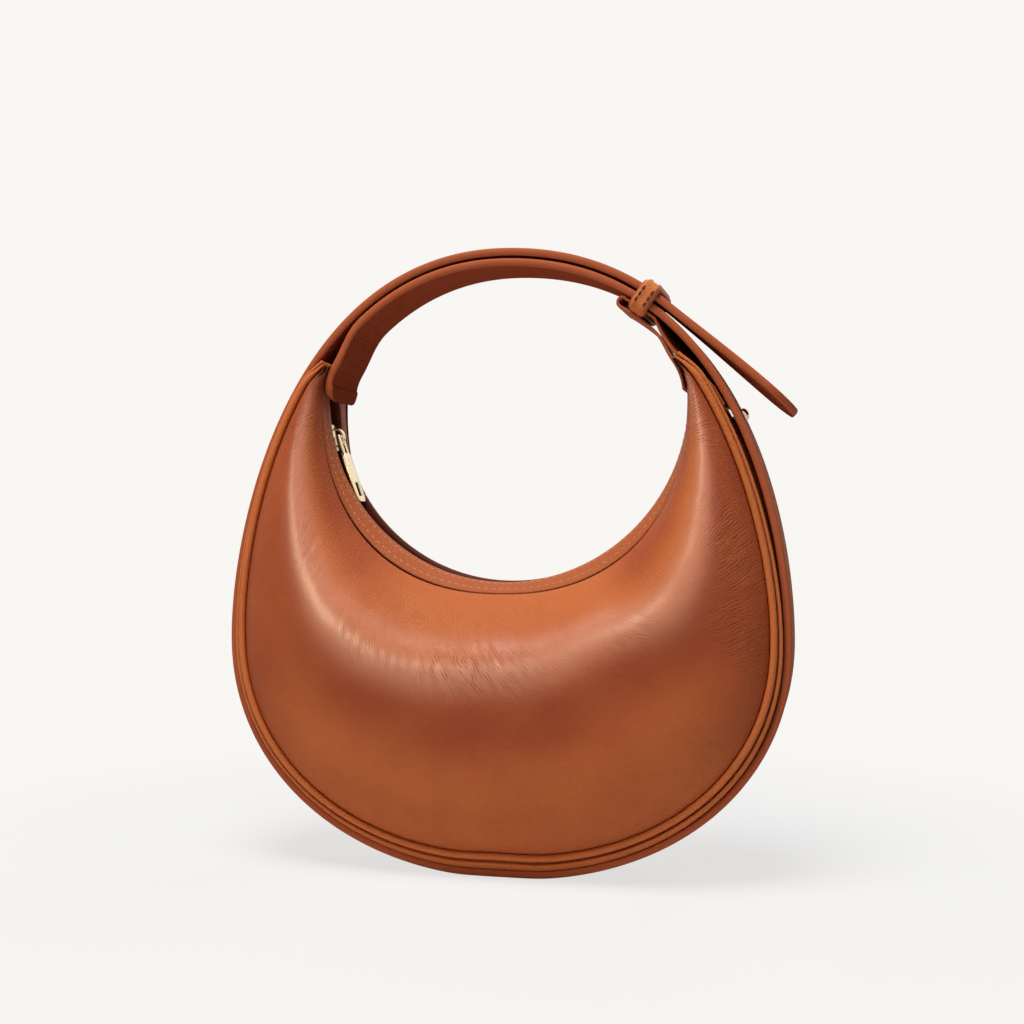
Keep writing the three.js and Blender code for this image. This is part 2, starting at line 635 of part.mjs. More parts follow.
const bar = extruded(plan, PULLER_THICK);
bar.translate(0, 0, -PULLER_THICK / 2);
const pinLength = 2 * prongInner + OVERLAP;
const pin = new THREE.CylinderGeometry(PULLER_PIN_RADIUS, PULLER_PIN_RADIUS, pinLength, ROUND_SIDES);
add(puller, "zip_puller", joined(bar, pin), gold);

// Belt: one strap of about one turn and a half, divided where it bends.
const left = (u) => (inset) => bodyPoint(-u, inset);
const right = (u) => (inset) => flareLine(u, inset);
const between = (from, to, count) => range(count).map((f) => mix(from, to, f));
const places = (side, list) => list.map((u) => side(u));
function belt(spots, insetAt, ends) {
  const edge = (more) => spots.map((spot, i) => spot(insetAt(i) + more));
  const [outer, inner] = [edge(0), edge(BELT_THICK)];
  const trim = (edges, at, next, by) => {
    const step = edges[next].clone().sub(edges[at]);
    edges[at].addScaledVector(step.normalize(), by);
  };
  for (const edges of [outer, inner]) {
    trim(edges, 0, 1, ends[0]);
    trim(edges, edges.length - 1, edges.length - 2, ends[1]);
  }
  return ribbon(outer, inner, BELT_WIDTH);
}
const onLine = () => 0;
const cutEnd = GAP / 2;
const bothCut = [cutEnd, cutEnd];

// Stud: a domed head outside, a post through belt and gusset, and a washer inside.
const studSpot = flareLine(STUD_U);
const studWay = flareLine(STUD_U, 1).sub(studSpot);
function depthTo(inset) {
  const side = (u) => {
    const away = rightLine(u, inset).sub(studSpot);
    return away.y * studWay.x - away.x * studWay.y;
  };
  const reach = 0.2;
  const u = solve(side, STUD_U - reach, STUD_U + reach, 0);
  return rightLine(u, inset).sub(studSpot).dot(studWay);
}
const washerTop = depthTo(GUSSET_INSET + GUSSET_THICK) + GAP;
const postEnd = washerTop + WASHER_THICK + GAP;
function alongStud(geometry) {
  geometry.rotateX(Math.PI / 2);
  geometry.rotateY(Math.atan2(-studWay.x, -studWay.y));
  return geometry.translate(studSpot.x, 0, studSpot.y);
}
const headProfile = [
  flat(0, -postEnd),
  flat(STUD_POST_RADIUS, -postEnd),
  flat(STUD_POST_RADIUS, GAP),
  flat(STUD_RADIUS, GAP),
  ...range(DOME_STEPS).map((f) => {
    const angle = (f * Math.PI) / 2;
    return flat(STUD_RADIUS * Math.cos(angle), 2 * GAP + STUD_DOME * Math.sin(angle));
  }),
];
headProfile[headProfile.length - 1].x = 0;
const washerHole = STUD_POST_RADIUS + GAP;
const washerProfile = [
  flat(washerHole, -washerTop - WASHER_THICK),
  flat(WASHER_RADIUS, -washerTop - WASHER_THICK),
  flat(WASHER_RADIUS, -washerTop),
  flat(washerHole, -washerTop),
  flat(washerHole, -washerTop - WASHER_THICK),
];
const studHole = () => {
  const drill = new THREE.CylinderGeometry(washerHole, washerHole, 4 * postEnd, ROUND_SIDES);
  return alongStud(drill);
};
add(bag, "belt_stud", alongStud(new THREE.LatheGeometry(headProfile, ROUND_SIDES)), gold);
add(bag, "stud_washer", alongStud(new THREE.LatheGeometry(washerProfile, ROUND_SIDES)), gold);
add(bag, "gusset", cut(gussetSheet, studHole()), leather);

const upTo = (end) => [...halfStations.filter((u) => u < end - END_CLEAR_U), end];
const wrapSpots = [
  ...places(right, upTo(RIGHT_FLEX_U[0]).reverse()),
  ...places(left, upTo(LEFT_FLEX_U[0])),
];
add(bag, "perimeter_belt", cut(belt(wrapSpots, onLine, bothCut), studHole()), beltLeather);

const leftFlex = places(left, between(...LEFT_FLEX_U, FLEX_STEPS));
add(bag, "belt_flex_left", belt(leftFlex, onLine, bothCut), beltLeather);
const rightFlex = places(right, between(...RIGHT_FLEX_U, FLEX_STEPS));
add(bag, "belt_flex_right", belt(rightFlex, onLine, bothCut), beltLeather);

// The belt's inner end
const endPlaces = [
  ...between(BELT_END_U, LEFT_TIP_U, END_STEPS),
  ...between(LEFT_TIP_U, LEFT_FLEX_U[1], END_STEPS).slice(1),
];
const endInsets = endPlaces.map((u) => {
  if (u <= LEFT_TIP_U) return mouthInset(-u);
  const share = ease(1 - (u - LEFT_TIP_U) / BELT_MEETS_U);
  return mix(LAYER_STEP, mouthInset(-LEFT_TIP_U), share);
});
add(bag, "belt_inner_end", belt(places(left, endPlaces), (i) => endInsets[i], [0, cutEnd]), beltLeather);

// Handle: the inner layer runs on into the right side, the outer layer ends at the tail.
const handle = pivotGroup(bag, 0, HANDLE_HINGE_Z);
const innerSpots = [
  ...places(left, between(LEFT_FLEX_U[1], 2, HANDLE_STEPS)),
  ...places(right, between(2, RIGHT_FLEX_U[1], HANDLE_STEPS).slice(1)),
];
const innerInset = (i) => (i <= HANDLE_STEPS ? LAYER_STEP : 0);
add(handle, "handle_inner_layer", belt(innerSpots, innerInset, bothCut), beltLeather);

const keeperSpot = flareLine(KEEPER_U);
const keeperWay = flareLine(KEEPER_U - NUDGE_U).sub(keeperSpot).normalize();
const keeperUp = flareLine(KEEPER_U, -1).sub(keeperSpot);
const KEEPER_EXIT = KEEPER_LENGTH / 2 + GAP + BELT_THICK / 2;
const awayFromKeeper = (u) => flareLine(u).sub(keeperSpot).dot(keeperWay);
const PIVOT_U = solve((u) => -awayFromKeeper(u), 1, 2, -(KEEPER_EXIT + BELT_THICK / 2));
const LAYER_END_U = solve((u) => -awayFromKeeper(u), 1, 2, -(KEEPER_EXIT - GAP));
const outerSpots = [
  ...places(left, between(LEFT_FLEX_U[1], 2, HANDLE_STEPS)),
  ...places(right, between(2, LAYER_END_U, HANDLE_STEPS).slice(1)),
];
const outerInset = (i) => (i <= HANDLE_STEPS ? 0 : -LAYER_STEP);
add(handle, "handle_outer_layer", belt(outerSpots, outerInset, [cutEnd, 0]), beltLeather);

// Tail: a gentle arc from a round knuckle, cut to a rounded tip.
const tailPivot = flareLine(PIVOT_U, BELT_THICK / 2 - LAYER_STEP);
const tailStart = flareLine(PIVOT_U - NUDGE_U).sub(flareLine(PIVOT_U)).angle();
const tailBend = degrees(TAIL_DROOP) / TAIL_LENGTH;
function tailPoint(distance, offset) {
  const turn = tailBend * distance;
  const middle = flat(Math.sin(turn), Math.cos(turn) - 1).divideScalar(tailBend);
  const spot = middle.add(flat(Math.sin(turn), Math.cos(turn)).multiplyScalar(offset));
  return spot.rotateAround(flat(0, 0), tailStart).add(tailPivot);
}
const tailSteps = between(0, TAIL_LENGTH, TAIL_STEPS);
const knuckle = between(Math.PI / 2, (3 * Math.PI) / 2, FOLD_STEPS).slice(1, -1).map((angle) => {
  const spot = flat(Math.cos(angle), Math.sin(angle)).multiplyScalar(BELT_THICK / 2);
  return spot.rotateAround(flat(0, 0), tailStart).add(tailPivot);
});
const tailTop = tailSteps.map((d) => tailPoint(d, BELT_THICK / 2));
const tailUnder = [...knuckle, ...tailSteps.map((d) => tailPoint(d, -BELT_THICK / 2))];
const tailStrip = ribbon(tailTop, tailUnder, BELT_WIDTH);
const tipOutline = new THREE.Shape();
const tipHalf = BELT_WIDTH / 2 + OVERLAP;
const tipRound = (TAIL_TIP_SHARE * BELT_WIDTH) / 2;
const tailReach = tailPoint(TAIL_LENGTH, 0).sub(tailPivot);
const tipStart = tailReach.length() - tipRound;
const tipCorner = BELT_WIDTH / 2 - tipRound;
tipOutline.moveTo(-tipStart, -tipHalf);
tipOutline.lineTo(tipStart, -tipHalf);
tipOutline.absarc(tipStart, -tipCorner, tipRound, -Math.PI / 2, 0, false);
tipOutline.absarc(tipStart, tipCorner, tipRound, 0, Math.PI / 2, false);
tipOutline.lineTo(tipStart, tipHalf);
tipOutline.lineTo(-tipStart, tipHalf);
const tipCutter = extruded(tipOutline, TAIL_LENGTH);
tipCutter.translate(0, 0, -TAIL_LENGTH / 2).rotateY(-tailReach.angle());
tipCutter.translate(tailPivot.x, 0, tailPivot.y);
const tail = pivotGroup(handle, tailPivot.x, tailPivot.y);
add(tail, "belt_tail", geometryOf(solidOf(tailStrip).intersect(solidOf(tipCutter))), beltLeather);

// Keeper: a stitched loop round both layers and the upper side of the chape.
const CHAPE_TOP = BELT_THICK + GAP; // chape's upper side, under the inner layer
const loopHigh = LAYER_STEP + GAP;
const loopLow = -(CHAPE_TOP + CHAPE_THICK + GAP);
const loopHalf = BELT_WIDTH / 2 + GAP;
function rectangle(Kind, halfWidth, low, high) {
  const outline = new Kind();
  outline.moveTo(-halfWidth, low);
  outline.lineTo(halfWidth, low);
  outline.lineTo(halfWidth, high);
  outline.lineTo(-halfWidth, high);
  outline.closePath();
  return outline;
}
const loopOuter = [loopHalf + KEEPER_THICK, loopLow - KEEPER_THICK, loopHigh + KEEPER_THICK];
const loop = rectangle(THREE.Shape, ...loopOuter);
loop.holes.push(rectangle(THREE.Path, loopHalf, loopLow, loopHigh));
const loopBand = extruded(loop, KEEPER_LENGTH);
loopBand.translate(0, 0, -KEEPER_LENGTH / 2);
const loopAxes = new THREE.Matrix4().makeBasis(
  new THREE.Vector3(0, 1, 0),
  new THREE.Vector3(keeperUp.x, 0, keeperUp.y),
  new THREE.Vector3(keeperWay.x, 0, keeperWay.y),
);
loopAxes.setPosition(keeperSpot.x, 0, keeperSpot.y);
add(handle, "keeper_loop", loopBand.applyMatrix4(loopAxes), beltLeather);

// Chape: a strip folded through the keeper. Its outer leg lies between belt and gusset,
// and its inner leg over the right horn's mouth edge.
const foldU = solve((u) => -awayFromKeeper(u), 1, 2, CHAPE_REACH);
const keeperFoot = solve((u) => -awayFromKeeper(u), 1, 2, -KEEPER_LENGTH);
const CHAPE_LOW = -loopLow + KEEPER_THICK + 2 * GAP; // its lower side, under the keeper
const legDone = (u, end) => THREE.MathUtils.clamp((keeperFoot - u) / (keeperFoot - end), 0, 1);
function outerLeg(u, depth) {
  const bow = CHAPE_BOW * Math.sin(Math.PI * legDone(u, CHAPE_BOW_U)) ** 2;
  return flareLine(u, CHAPE_TOP + bow + depth);
}
function innerLeg(u, depth) {
  const onHorn = mouthInset(Math.min(u, RIGHT_TIP_U));
  const spot = flareLine(u, CHAPE_LOW + depth);
  return spot.lerp(rightLine(u, onHorn + depth), ease(legDone(u, RIGHT_TIP_U)));
}
const outerRun = between(CHAPE_OUTER_U, foldU, CHAPE_STEPS);
const innerRun = between(foldU, CHAPE_INNER_U, CHAPE_STEPS);
const foldMiddle = (CHAPE_TOP + CHAPE_LOW + CHAPE_THICK) / 2;
const foldCentre = flareLine(foldU, foldMiddle);
const foldOut = flareLine(foldU, foldMiddle - 1).sub(foldCentre).angle();
function foldEdge(radius) {
  return between(0, Math.PI, FOLD_STEPS).slice(1, -1).map((turn) => {
    const spot = flat(radius, 0).rotateAround(flat(0, 0), foldOut + turn);
    return spot.add(foldCentre);
  });
}
const bigFold = (CHAPE_LOW + CHAPE_THICK - CHAPE_TOP) / 2;
const chapeOuter = [
  ...outerRun.map((u) => outerLeg(u, 0)),
  ...foldEdge(bigFold),
  ...innerRun.map((u) => innerLeg(u, CHAPE_THICK)),
];
const chapeInner = [
  ...outerRun.map((u) => outerLeg(u, CHAPE_THICK)),
  ...foldEdge(bigFold - CHAPE_THICK),
  ...innerRun.map((u) => innerLeg(u, 0)),
];
add(bag, "keeper_chape", ribbon(chapeOuter, chapeInner, CHAPE_WIDTH), beltLeather);

export default bag;
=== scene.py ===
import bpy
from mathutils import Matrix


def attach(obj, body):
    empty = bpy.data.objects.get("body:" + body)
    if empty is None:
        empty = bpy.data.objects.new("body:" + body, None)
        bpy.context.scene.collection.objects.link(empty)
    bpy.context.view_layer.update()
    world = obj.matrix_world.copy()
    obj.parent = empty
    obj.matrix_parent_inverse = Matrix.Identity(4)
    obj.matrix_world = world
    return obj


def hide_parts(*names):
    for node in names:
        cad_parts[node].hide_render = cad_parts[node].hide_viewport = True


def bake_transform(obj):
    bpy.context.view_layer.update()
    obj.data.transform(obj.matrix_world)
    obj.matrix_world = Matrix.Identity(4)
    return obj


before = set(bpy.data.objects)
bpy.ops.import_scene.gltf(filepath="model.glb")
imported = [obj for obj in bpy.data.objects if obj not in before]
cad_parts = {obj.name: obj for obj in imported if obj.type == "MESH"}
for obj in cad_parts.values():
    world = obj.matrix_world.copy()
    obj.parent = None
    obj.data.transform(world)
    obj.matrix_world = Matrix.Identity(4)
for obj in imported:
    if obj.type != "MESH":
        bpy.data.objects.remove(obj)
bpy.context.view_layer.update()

import math

import bmesh
import bpy
from bpy.props import FloatProperty, FloatVectorProperty, PointerProperty
from mathutils import Matrix, Vector, noise

bl_info = {
    "name": "Crescent Handbag",
    "version": (1, 0, 0),
    "blender": (4, 5, 0),
    "location": "3D View > Sidebar > Handbag",
    "description": "Makes a crescent leather handbag piece by piece round its packed frame",
    "category": "Add Mesh",
}

MM = 0.001
SIDES = (("front", -1), ("back", 1))
NUDGE = 1e-3
BELT_ROUND = 1.1 * MM
# Length of cloth laid along one unit of station
STATION_RUN = 0.17
# Where the fold's ridge is lifted: station, reach and share of the lift
FOLD_LIFTS = ((0.5, 0.3, 1.0), (-1.2, 0.45, 0.8))


# Properties

def size(name, description, millimetres):
    return FloatProperty(
        name=name, description=description, default=millimetres * MM, subtype="DISTANCE", unit="LENGTH")


def number(name, description, default):
    return FloatProperty(name=name, description=description, default=default)


def turn(name, description, degrees):
    return FloatProperty(
        name=name, description=description, default=math.radians(degrees), subtype="ANGLE", unit="ROTATION")


def colour(name, description, default):
    return FloatVectorProperty(
        name=name, description=description, default=default, subtype="COLOR", size=3, min=0, max=1)


class OutlineSizes(bpy.types.PropertyGroup):
    """Outline of the bag on the belt's face, and places along it from 0 at the base to 2 at the crown"""
    belly_half: size("Belly half width", "Half width at the widest level", 116.4)
    belly_z: size("Belly height", "Height of the widest level", 95.5)
    top_z: size("Top", "Top of the handle", 254.5)
    base_sink: size("Base sink", "Depth of the base curve that is pressed flat", 0.7)
    base_power: number("Base power", "2 is an ellipse, more is squarer", 2.1)
    flank_pull: size("Flank pull", "How far the flank keeps upright above the belly", 50)
    base_ease: size("Base ease", "How softly the curve meets the flat", 0.5)
    shoulder_pull: size("Shoulder pull", "How far the crown keeps level on the left", 88)
    crown_pull: size("Crown pull", "The same for the bag on the right", 84)
    flare_pull: size("Flare pull", "The same for the belt on the right, where it stands off", 95.5)
    horn_u: number("Horn", "Tip of a horn", 1.6)
    tip_run: number("Tip run", "Length over which the outer seam slopes to a horn's tip", 0.055)
    tip_slope: size("Tip slope", "How far the outer seam slopes in there", 3)
    tongue_u: number("Tongue", "End of the gusset inside the belt", 1.603)
    belt_end_u: number("Belt end", "End of the belt, sewn over the left horn", 1.545)
    belt_meets_u: number("Belt meets", "Horn's tip to where the two layers meet", 0.11)
    stud_u: number("Stud", "Place of the stud", 1.474)
    keeper_u: number("Keeper", "Place of the keeper", 1.745)
    chape_outer_u: number("Chape outer end", "End of the chape's outer leg, over the gusset", 1.5)
    chape_bow_u: number("Chape bow end", "Where the outer leg comes back to the belt", 1.535)
    chape_inner_u: number("Chape inner end", "End of its inner leg, inside the right horn", 1.545)
    stiffener_u: number("Stiffener", "Reach of the board inside the gusset", 1.0)
    gusset_lining_u: number("Gusset lining", "Reach of the lining inside the gusset", 1.3)


class BeltSizes(bpy.types.PropertyGroup):
    """Belt, keeper, chape and stud"""
    belt_width: size("Width", "Width of the belt", 33)
    belt_thick: size("Thickness", "Thickness of the belt", 3.1)
    layer_gap: size("Layer gap", "Air between the two layers of the handle", 1.1)
    hem_length: size("Hem", "Folded hem at the belt's inner end", 6)
    hem_rise: size("Hem rise", "How much thicker the hem is", 0.7)
    end_round: size("End round", "Corner radius of the belt's inner end", 6)
    tail_length: size("Tail", "Length of the free tail", 66.5)
    tail_droop: turn("Tail droop", "How far the tail bends down over its length", 2.5)
    tail_roll: turn("Tail roll", "How far the tail's back edge rolls down by its tip", 3)
    tail_tip_share: number("Tail tip", "Corner radius of the tip as a share of half the width", 0.91)
    keeper_length: size("Keeper length", "Length of the keeper along the belt", 8)
    keeper_thick: size("Keeper thickness", "Leather of the keeper", 1.8)
    chape_width: size("Chape width", "Width of the strip through the keeper", 31)
    chape_thick: size("Chape thickness", "Leather of the chape", 1.3)
    chape_reach: size("Chape reach", "Fold beyond the middle of the keeper", 7)
    chape_bow: size("Chape bow", "How far the chape's outer leg bows away from the belt", 2)
    chape_roll: turn("Chape roll", "How far the back edge of its inner leg rolls down", 1)
    stud_radius: size("Stud radius", "Radius of the stud's head", 2.6)
    stud_dome: size("Stud dome", "Height of the stud's dome", 1.7)
    stud_post: size("Stud post", "Radius of the post through the leather", 1.1)
    washer_radius: size("Washer radius", "Radius of the washer inside", 3.4)
    washer_thick: size("Washer thickness", "Thickness of the washer", 0.8)


class ShellSizes(bpy.types.PropertyGroup):
    """Panels, gusset, piping and what lies inside them"""
    edge_margin: size("Edge margin", "Gusset that shows on each side of the belt", 3.1)
    gusset_thick: size("Gusset", "Leather of the gusset", 1.6)
    gusset_turn_power: number("Gusset turn", "How late the gusset's edge turns", 1.32)
    piping_radius: size("Piping", "Radius of the welt in the outer seams", 1.4)
    panel_thick: size("Panel", "Leather of the panels", 1.6)
    lining_thick: size("Lining", "Cloth of the linings", 0.6)
    stiffener_thick: size("Stiffener", "Board inside the gusset", 1.2)
    seam_drop_base: size("Base seam", "Belt's face to the panel seam under the bag", 9.4)
    seam_drop_belly: size("Belly seam", "The same at the widest level", 6.8)
    seam_drop_horn: size("Horn seam", "The same at the tip of a horn", 4.2)
    puff: size("Puff", "How far the panel swells beyond its seams", 33)
    puff_fade: number("Puff fade", "How quickly the swell follows the panel's width", 0.6)
    ridge_at: number("Ridge", "Where the swell starts across the panel", 0.18)
    belly_at: number("Belly", "Where the swell ends across the panel", 0.62)
    slack: size("Slack", "How far the leather wanders from a smooth swell", 0.5)
    crumple: size("Crumple", "Depth of the soft folds where the leather is creased", 0.45)
    fold: size("Fold", "Depth of the hollow under the soft fold along the panel", 6.6)
    fold_at: number("Fold place", "Share across the panel of the fold's ridge, at the middle", 0.33)
    fold_at_horn: number("Fold at horn", "The same at the tip of a horn", 0.48)
    fold_lift: number("Fold lift", "How much nearer the mouth the fold lies where it is lifted", 0.1)
    lining_angle: turn("Lining reach", "Reach of the panel linings to each side", 70)
    pocket_angle: turn("Pocket reach", "Reach of the slip pocket to each side", 34)
    gap: size("Gap", "Air between leather pieces that touch", 0.35)


class MouthSizes(bpy.types.PropertyGroup):
    """Mouth, facings, zip and its slider"""
    pouch_height: size("Pouch height", "Base to the mouth seam at the middle", 114.7)
    mouth_depth: size("Mouth depth", "Mouth seam at the middle to the mouth's centre", 80)
    mouth_power: number("Mouth power", "2 is an ellipse, more is squarer", 2.3)
    horn_width: size("Horn width", "Belt's face to the mouth seam, level with the mouth's centre", 13.4)
    horn_tip: size("Horn tip", "Width of the panel at the tip of a horn", 1.8)
    mouth_inset_y: size("Mouth inset", "Gusset's edge in to the mouth seam", 4.6)
    facing_thick: size("Facing", "Leather of the facings", 1.3)
    facing_rise: size("Facing rise", "Mouth seam up to the facing's top, at the middle", 4.25)
    facing_tuck: size("Facing tuck", "How far the facing's edge runs in under the panel", 0.4)
    facing_lip_y: size("Facing lip", "Half width of the slot over the zip", 5)
    facing_flat_y: size("Facing flat", "Where the facing starts to slope", 9.2)
    facing_round: size("Facing round", "Radius of the lip's fold", 1.6)
    zip_sink: size("Zip sink", "Facing's top down to the zip's tape", 4.3)
    facing_clear: size("Facing clear", "Facing's end from the belt's end", 2.5)
    tape_thick: size("Tape", "Thickness of the zip tapes", 0.8)
    tape_outer_y: size("Tape edge", "Outer edge of the zip tapes", 8.5)
    chain_slot: size("Chain slot", "Half the slot that the slider's post runs in", 0.8)
    chain_width: size("Chain width", "Width of one row of teeth", 1.8)
    chain_thick: size("Chain thickness", "Height of the teeth", 3.2)
    tooth_pitch: size("Tooth pitch", "Distance from tooth to tooth", 2.3)
    slider_length: size("Slider length", "Length of the slider", 12)
    slider_width: size("Slider width", "Width of the slider", 9.2)
    slider_wall: size("Slider wall", "Thickness of the slider's wings", 1.5)
    slider_post: size("Slider post", "Width of the post between the wings", 1)
    slider_post_length: size("Slider post length", "Length of the post between the wings", 3)
    bail_radius: size("Bail radius", "Outer radius of the bail", 4.2)
    bail_wire: size("Bail wire", "Wire of the bail", 1.2)
    bail_width: size("Bail width", "Width of the bail", 2)
    puller_length: size("Puller length", "Pivot to the tip", 29.5)
    puller_width: size("Puller width", "Width of the bar", 9)
    puller_thick: size("Puller thickness", "Thickness of the bar", 1.6)
    puller_fork: size("Puller fork", "Length of the fork", 7.5)
    puller_prong: size("Puller prong", "Width of a prong", 1.2)
    puller_pin: size("Puller pin", "Radius of the pin", 0.8)
    puller_sink: size("Puller sink", "How far the tip lies down in the slot", 1.2)
    window_length: size("Window length", "Length of the window in the bar", 6)
    window_width: size("Window width", "Width of the window in the bar", 4.6)
    window_end: size("Window end", "Metal left beyond the window", 2.6)
    zip_right_back: turn("Zip end", "Zip's right end from the facing's end", 22)
    slider_back: turn("Slider back", "Slider from the zip's left end", 9)
    stop_turn: turn("Stop", "Length of a stop round the mouth", 1.8)
    tab_turn: turn("End tab", "Length of the end tab round the mouth", 9)


class FinishColours(bpy.types.PropertyGroup):
    """Colours of the leathers, cloths, threads and metal, and of the painted shade on the panels and facings
    """
    panel_face: colour("Panel leather", "Face of the panels", (0.55, 0.152, 0.044))
    # Darker clouds in the panels' dye, and also the painted shade that the shade mark lays under the fold and
    # on the flanks
    panel_deep: colour("Panel shade", "Deeper dye under the fold", (0.37, 0.078, 0.028))
    # Painted shade: near black on the panels' rolled edges and backs, for the dark seam grooves
    panel_rim: colour("Panel edge", "Turned edge in the seams", (0.03, 0.007, 0.004))
    belt_face: colour("Belt leather", "Faces of the belt", (0.42, 0.104, 0.036))
    belt_deep: colour("Belt shade", "Darker clouds in the belt's dye", (0.32, 0.074, 0.026))
    welt_face: colour("Welt leather", "Welts and gusset", (0.6, 0.165, 0.047))
    facing_face: colour("Facing leather", "Facings of the mouth", (0.44, 0.115, 0.038))
    # Painted shade: dark colour on the turned side of the facings, for the shade in the slot
    facing_under: colour("Facing fold", "Turned side of the facings, in the slot", (0.1, 0.022, 0.01))
    belt_rim: colour("Belt edge", "Painted edge of the belt", (0.42, 0.105, 0.042))
    belt_under: colour("Belt underside", "Side of the belt that lies on the bag", (0.31, 0.064, 0.027))
    thread_pale: colour("Pale thread", "Stitches on the facings", (0.6, 0.28, 0.13))
    thread_dark: colour("Dark thread", "Stitches on the keeper", (0.035, 0.009, 0.005))
    lining: colour("Lining", "Cotton of the linings", (0.3, 0.17, 0.1))
    tape: colour("Zip tape", "Cloth of the zip", (0.12, 0.035, 0.02))
    coil: colour("Zip coil", "Nylon of the zip", (0.05, 0.018, 0.011))
    board: colour("Board", "Fibre board", (0.2, 0.14, 0.1))
    gold: colour("Gold", "Plated metal", (0.93, 0.77, 0.5))
    floor: colour("Floor", "Floor under the bag", (0.74, 0.74, 0.74))
    backdrop: colour("Backdrop", "What is seen behind the bag", (0.945, 0.925, 0.895))


# Sums

def clamp(x):
    return min(max(x, 0.0), 1.0)


def ease(x):
    x = clamp(x)
    return x * x * (3 - 2 * x)


def mix(a, b, f):
    return a + (b - a) * f


def spread(count, low, high):
    return [mix(low, high, i / count) for i in range(count + 1)]


def solve(value, low, high, wanted):
    """Finds where a rising function passes a value."""
    for _ in range(50):
        middle = (low + high) / 2
        if value(middle) < wanted:
            low = middle
        else:
            high = middle
    return (low + high) / 2


def bezier(corners, t):
    """A point of a cubic curve and the unit way along it."""
    a, b, c, d = corners
    s = 1 - t
    spot = a * s ** 3 + b * (3 * s * s * t) + c * (3 * s * t * t) + d * t ** 3
    way = (b - a) * (s * s) + (c - b) * (2 * s * t) + (d - c) * (t * t)
    return spot, way.normalized()


def run_lengths(points):
    """Distance from the first point to each point along a chain."""
    lengths = [0.0]
    for a, b in zip(points, points[1:]):
        lengths.append(lengths[-1] + (b - a).length)
    return lengths


def standing(flat, y):
    """A point of the XZ plane carried to a depth."""
    return Vector((flat.x, y, flat.y))


# Creased patches of the panels: station, share across, reach along, reach across, strength
FRONT_CREASES = (
    (1.16, 0.78, 0.06, 0.2, 1.0),
    (0.98, 0.8, 0.09, 0.18, 1.0),
    (1.24, 0.68, 0.06, 0.25, 0.6),
    (1.47, 0.52, 0.08, 0.25, 0.9),
    (-0.05, 0.36, 0.24, 0.1, 0.9),
    (0.62, 0.4, 0.2, 0.08, 0.5),
    (-0.55, 0.4, 0.16, 0.08, 0.5),
    (-1.1, 0.37, 0.17, 0.1, 0.45),
    (-1.48, 0.44, 0.08, 0.22, 0.6),
)
BACK_CREASES = (
    (-1.15, 0.62, 0.14, 0.3, 0.9),
    (-0.97, 0.5, 0.08, 0.22, 0.6),
    (1.47, 0.5, 0.08, 0.4, 0.5),
    (-1.47, 0.5, 0.08, 0.4, 0.5),
    (0.2, 0.34, 0.3, 0.09, 0.55),
)


def crease_mask(station, share, side):
    patches = FRONT_CREASES if side < 0 else BACK_CREASES
    total = 0.0
    for at, across, reach, wide, strength in patches:
        away = ((station - at) / reach) ** 2 + ((share - across) / wide) ** 2
        total += strength * math.exp(-away)
    return min(total, 1.0)


class Section:
    """One cut through a panel, from the mouth seam to the outer seam."""

    def __init__(self, station, angle, corners):
        self.station = station
        self.angle = angle
        self.corners = corners
        steps = [bezier(corners, t)[0] for t in spread(12, 0, 1)]
        self.length = run_lengths(steps)[-1]


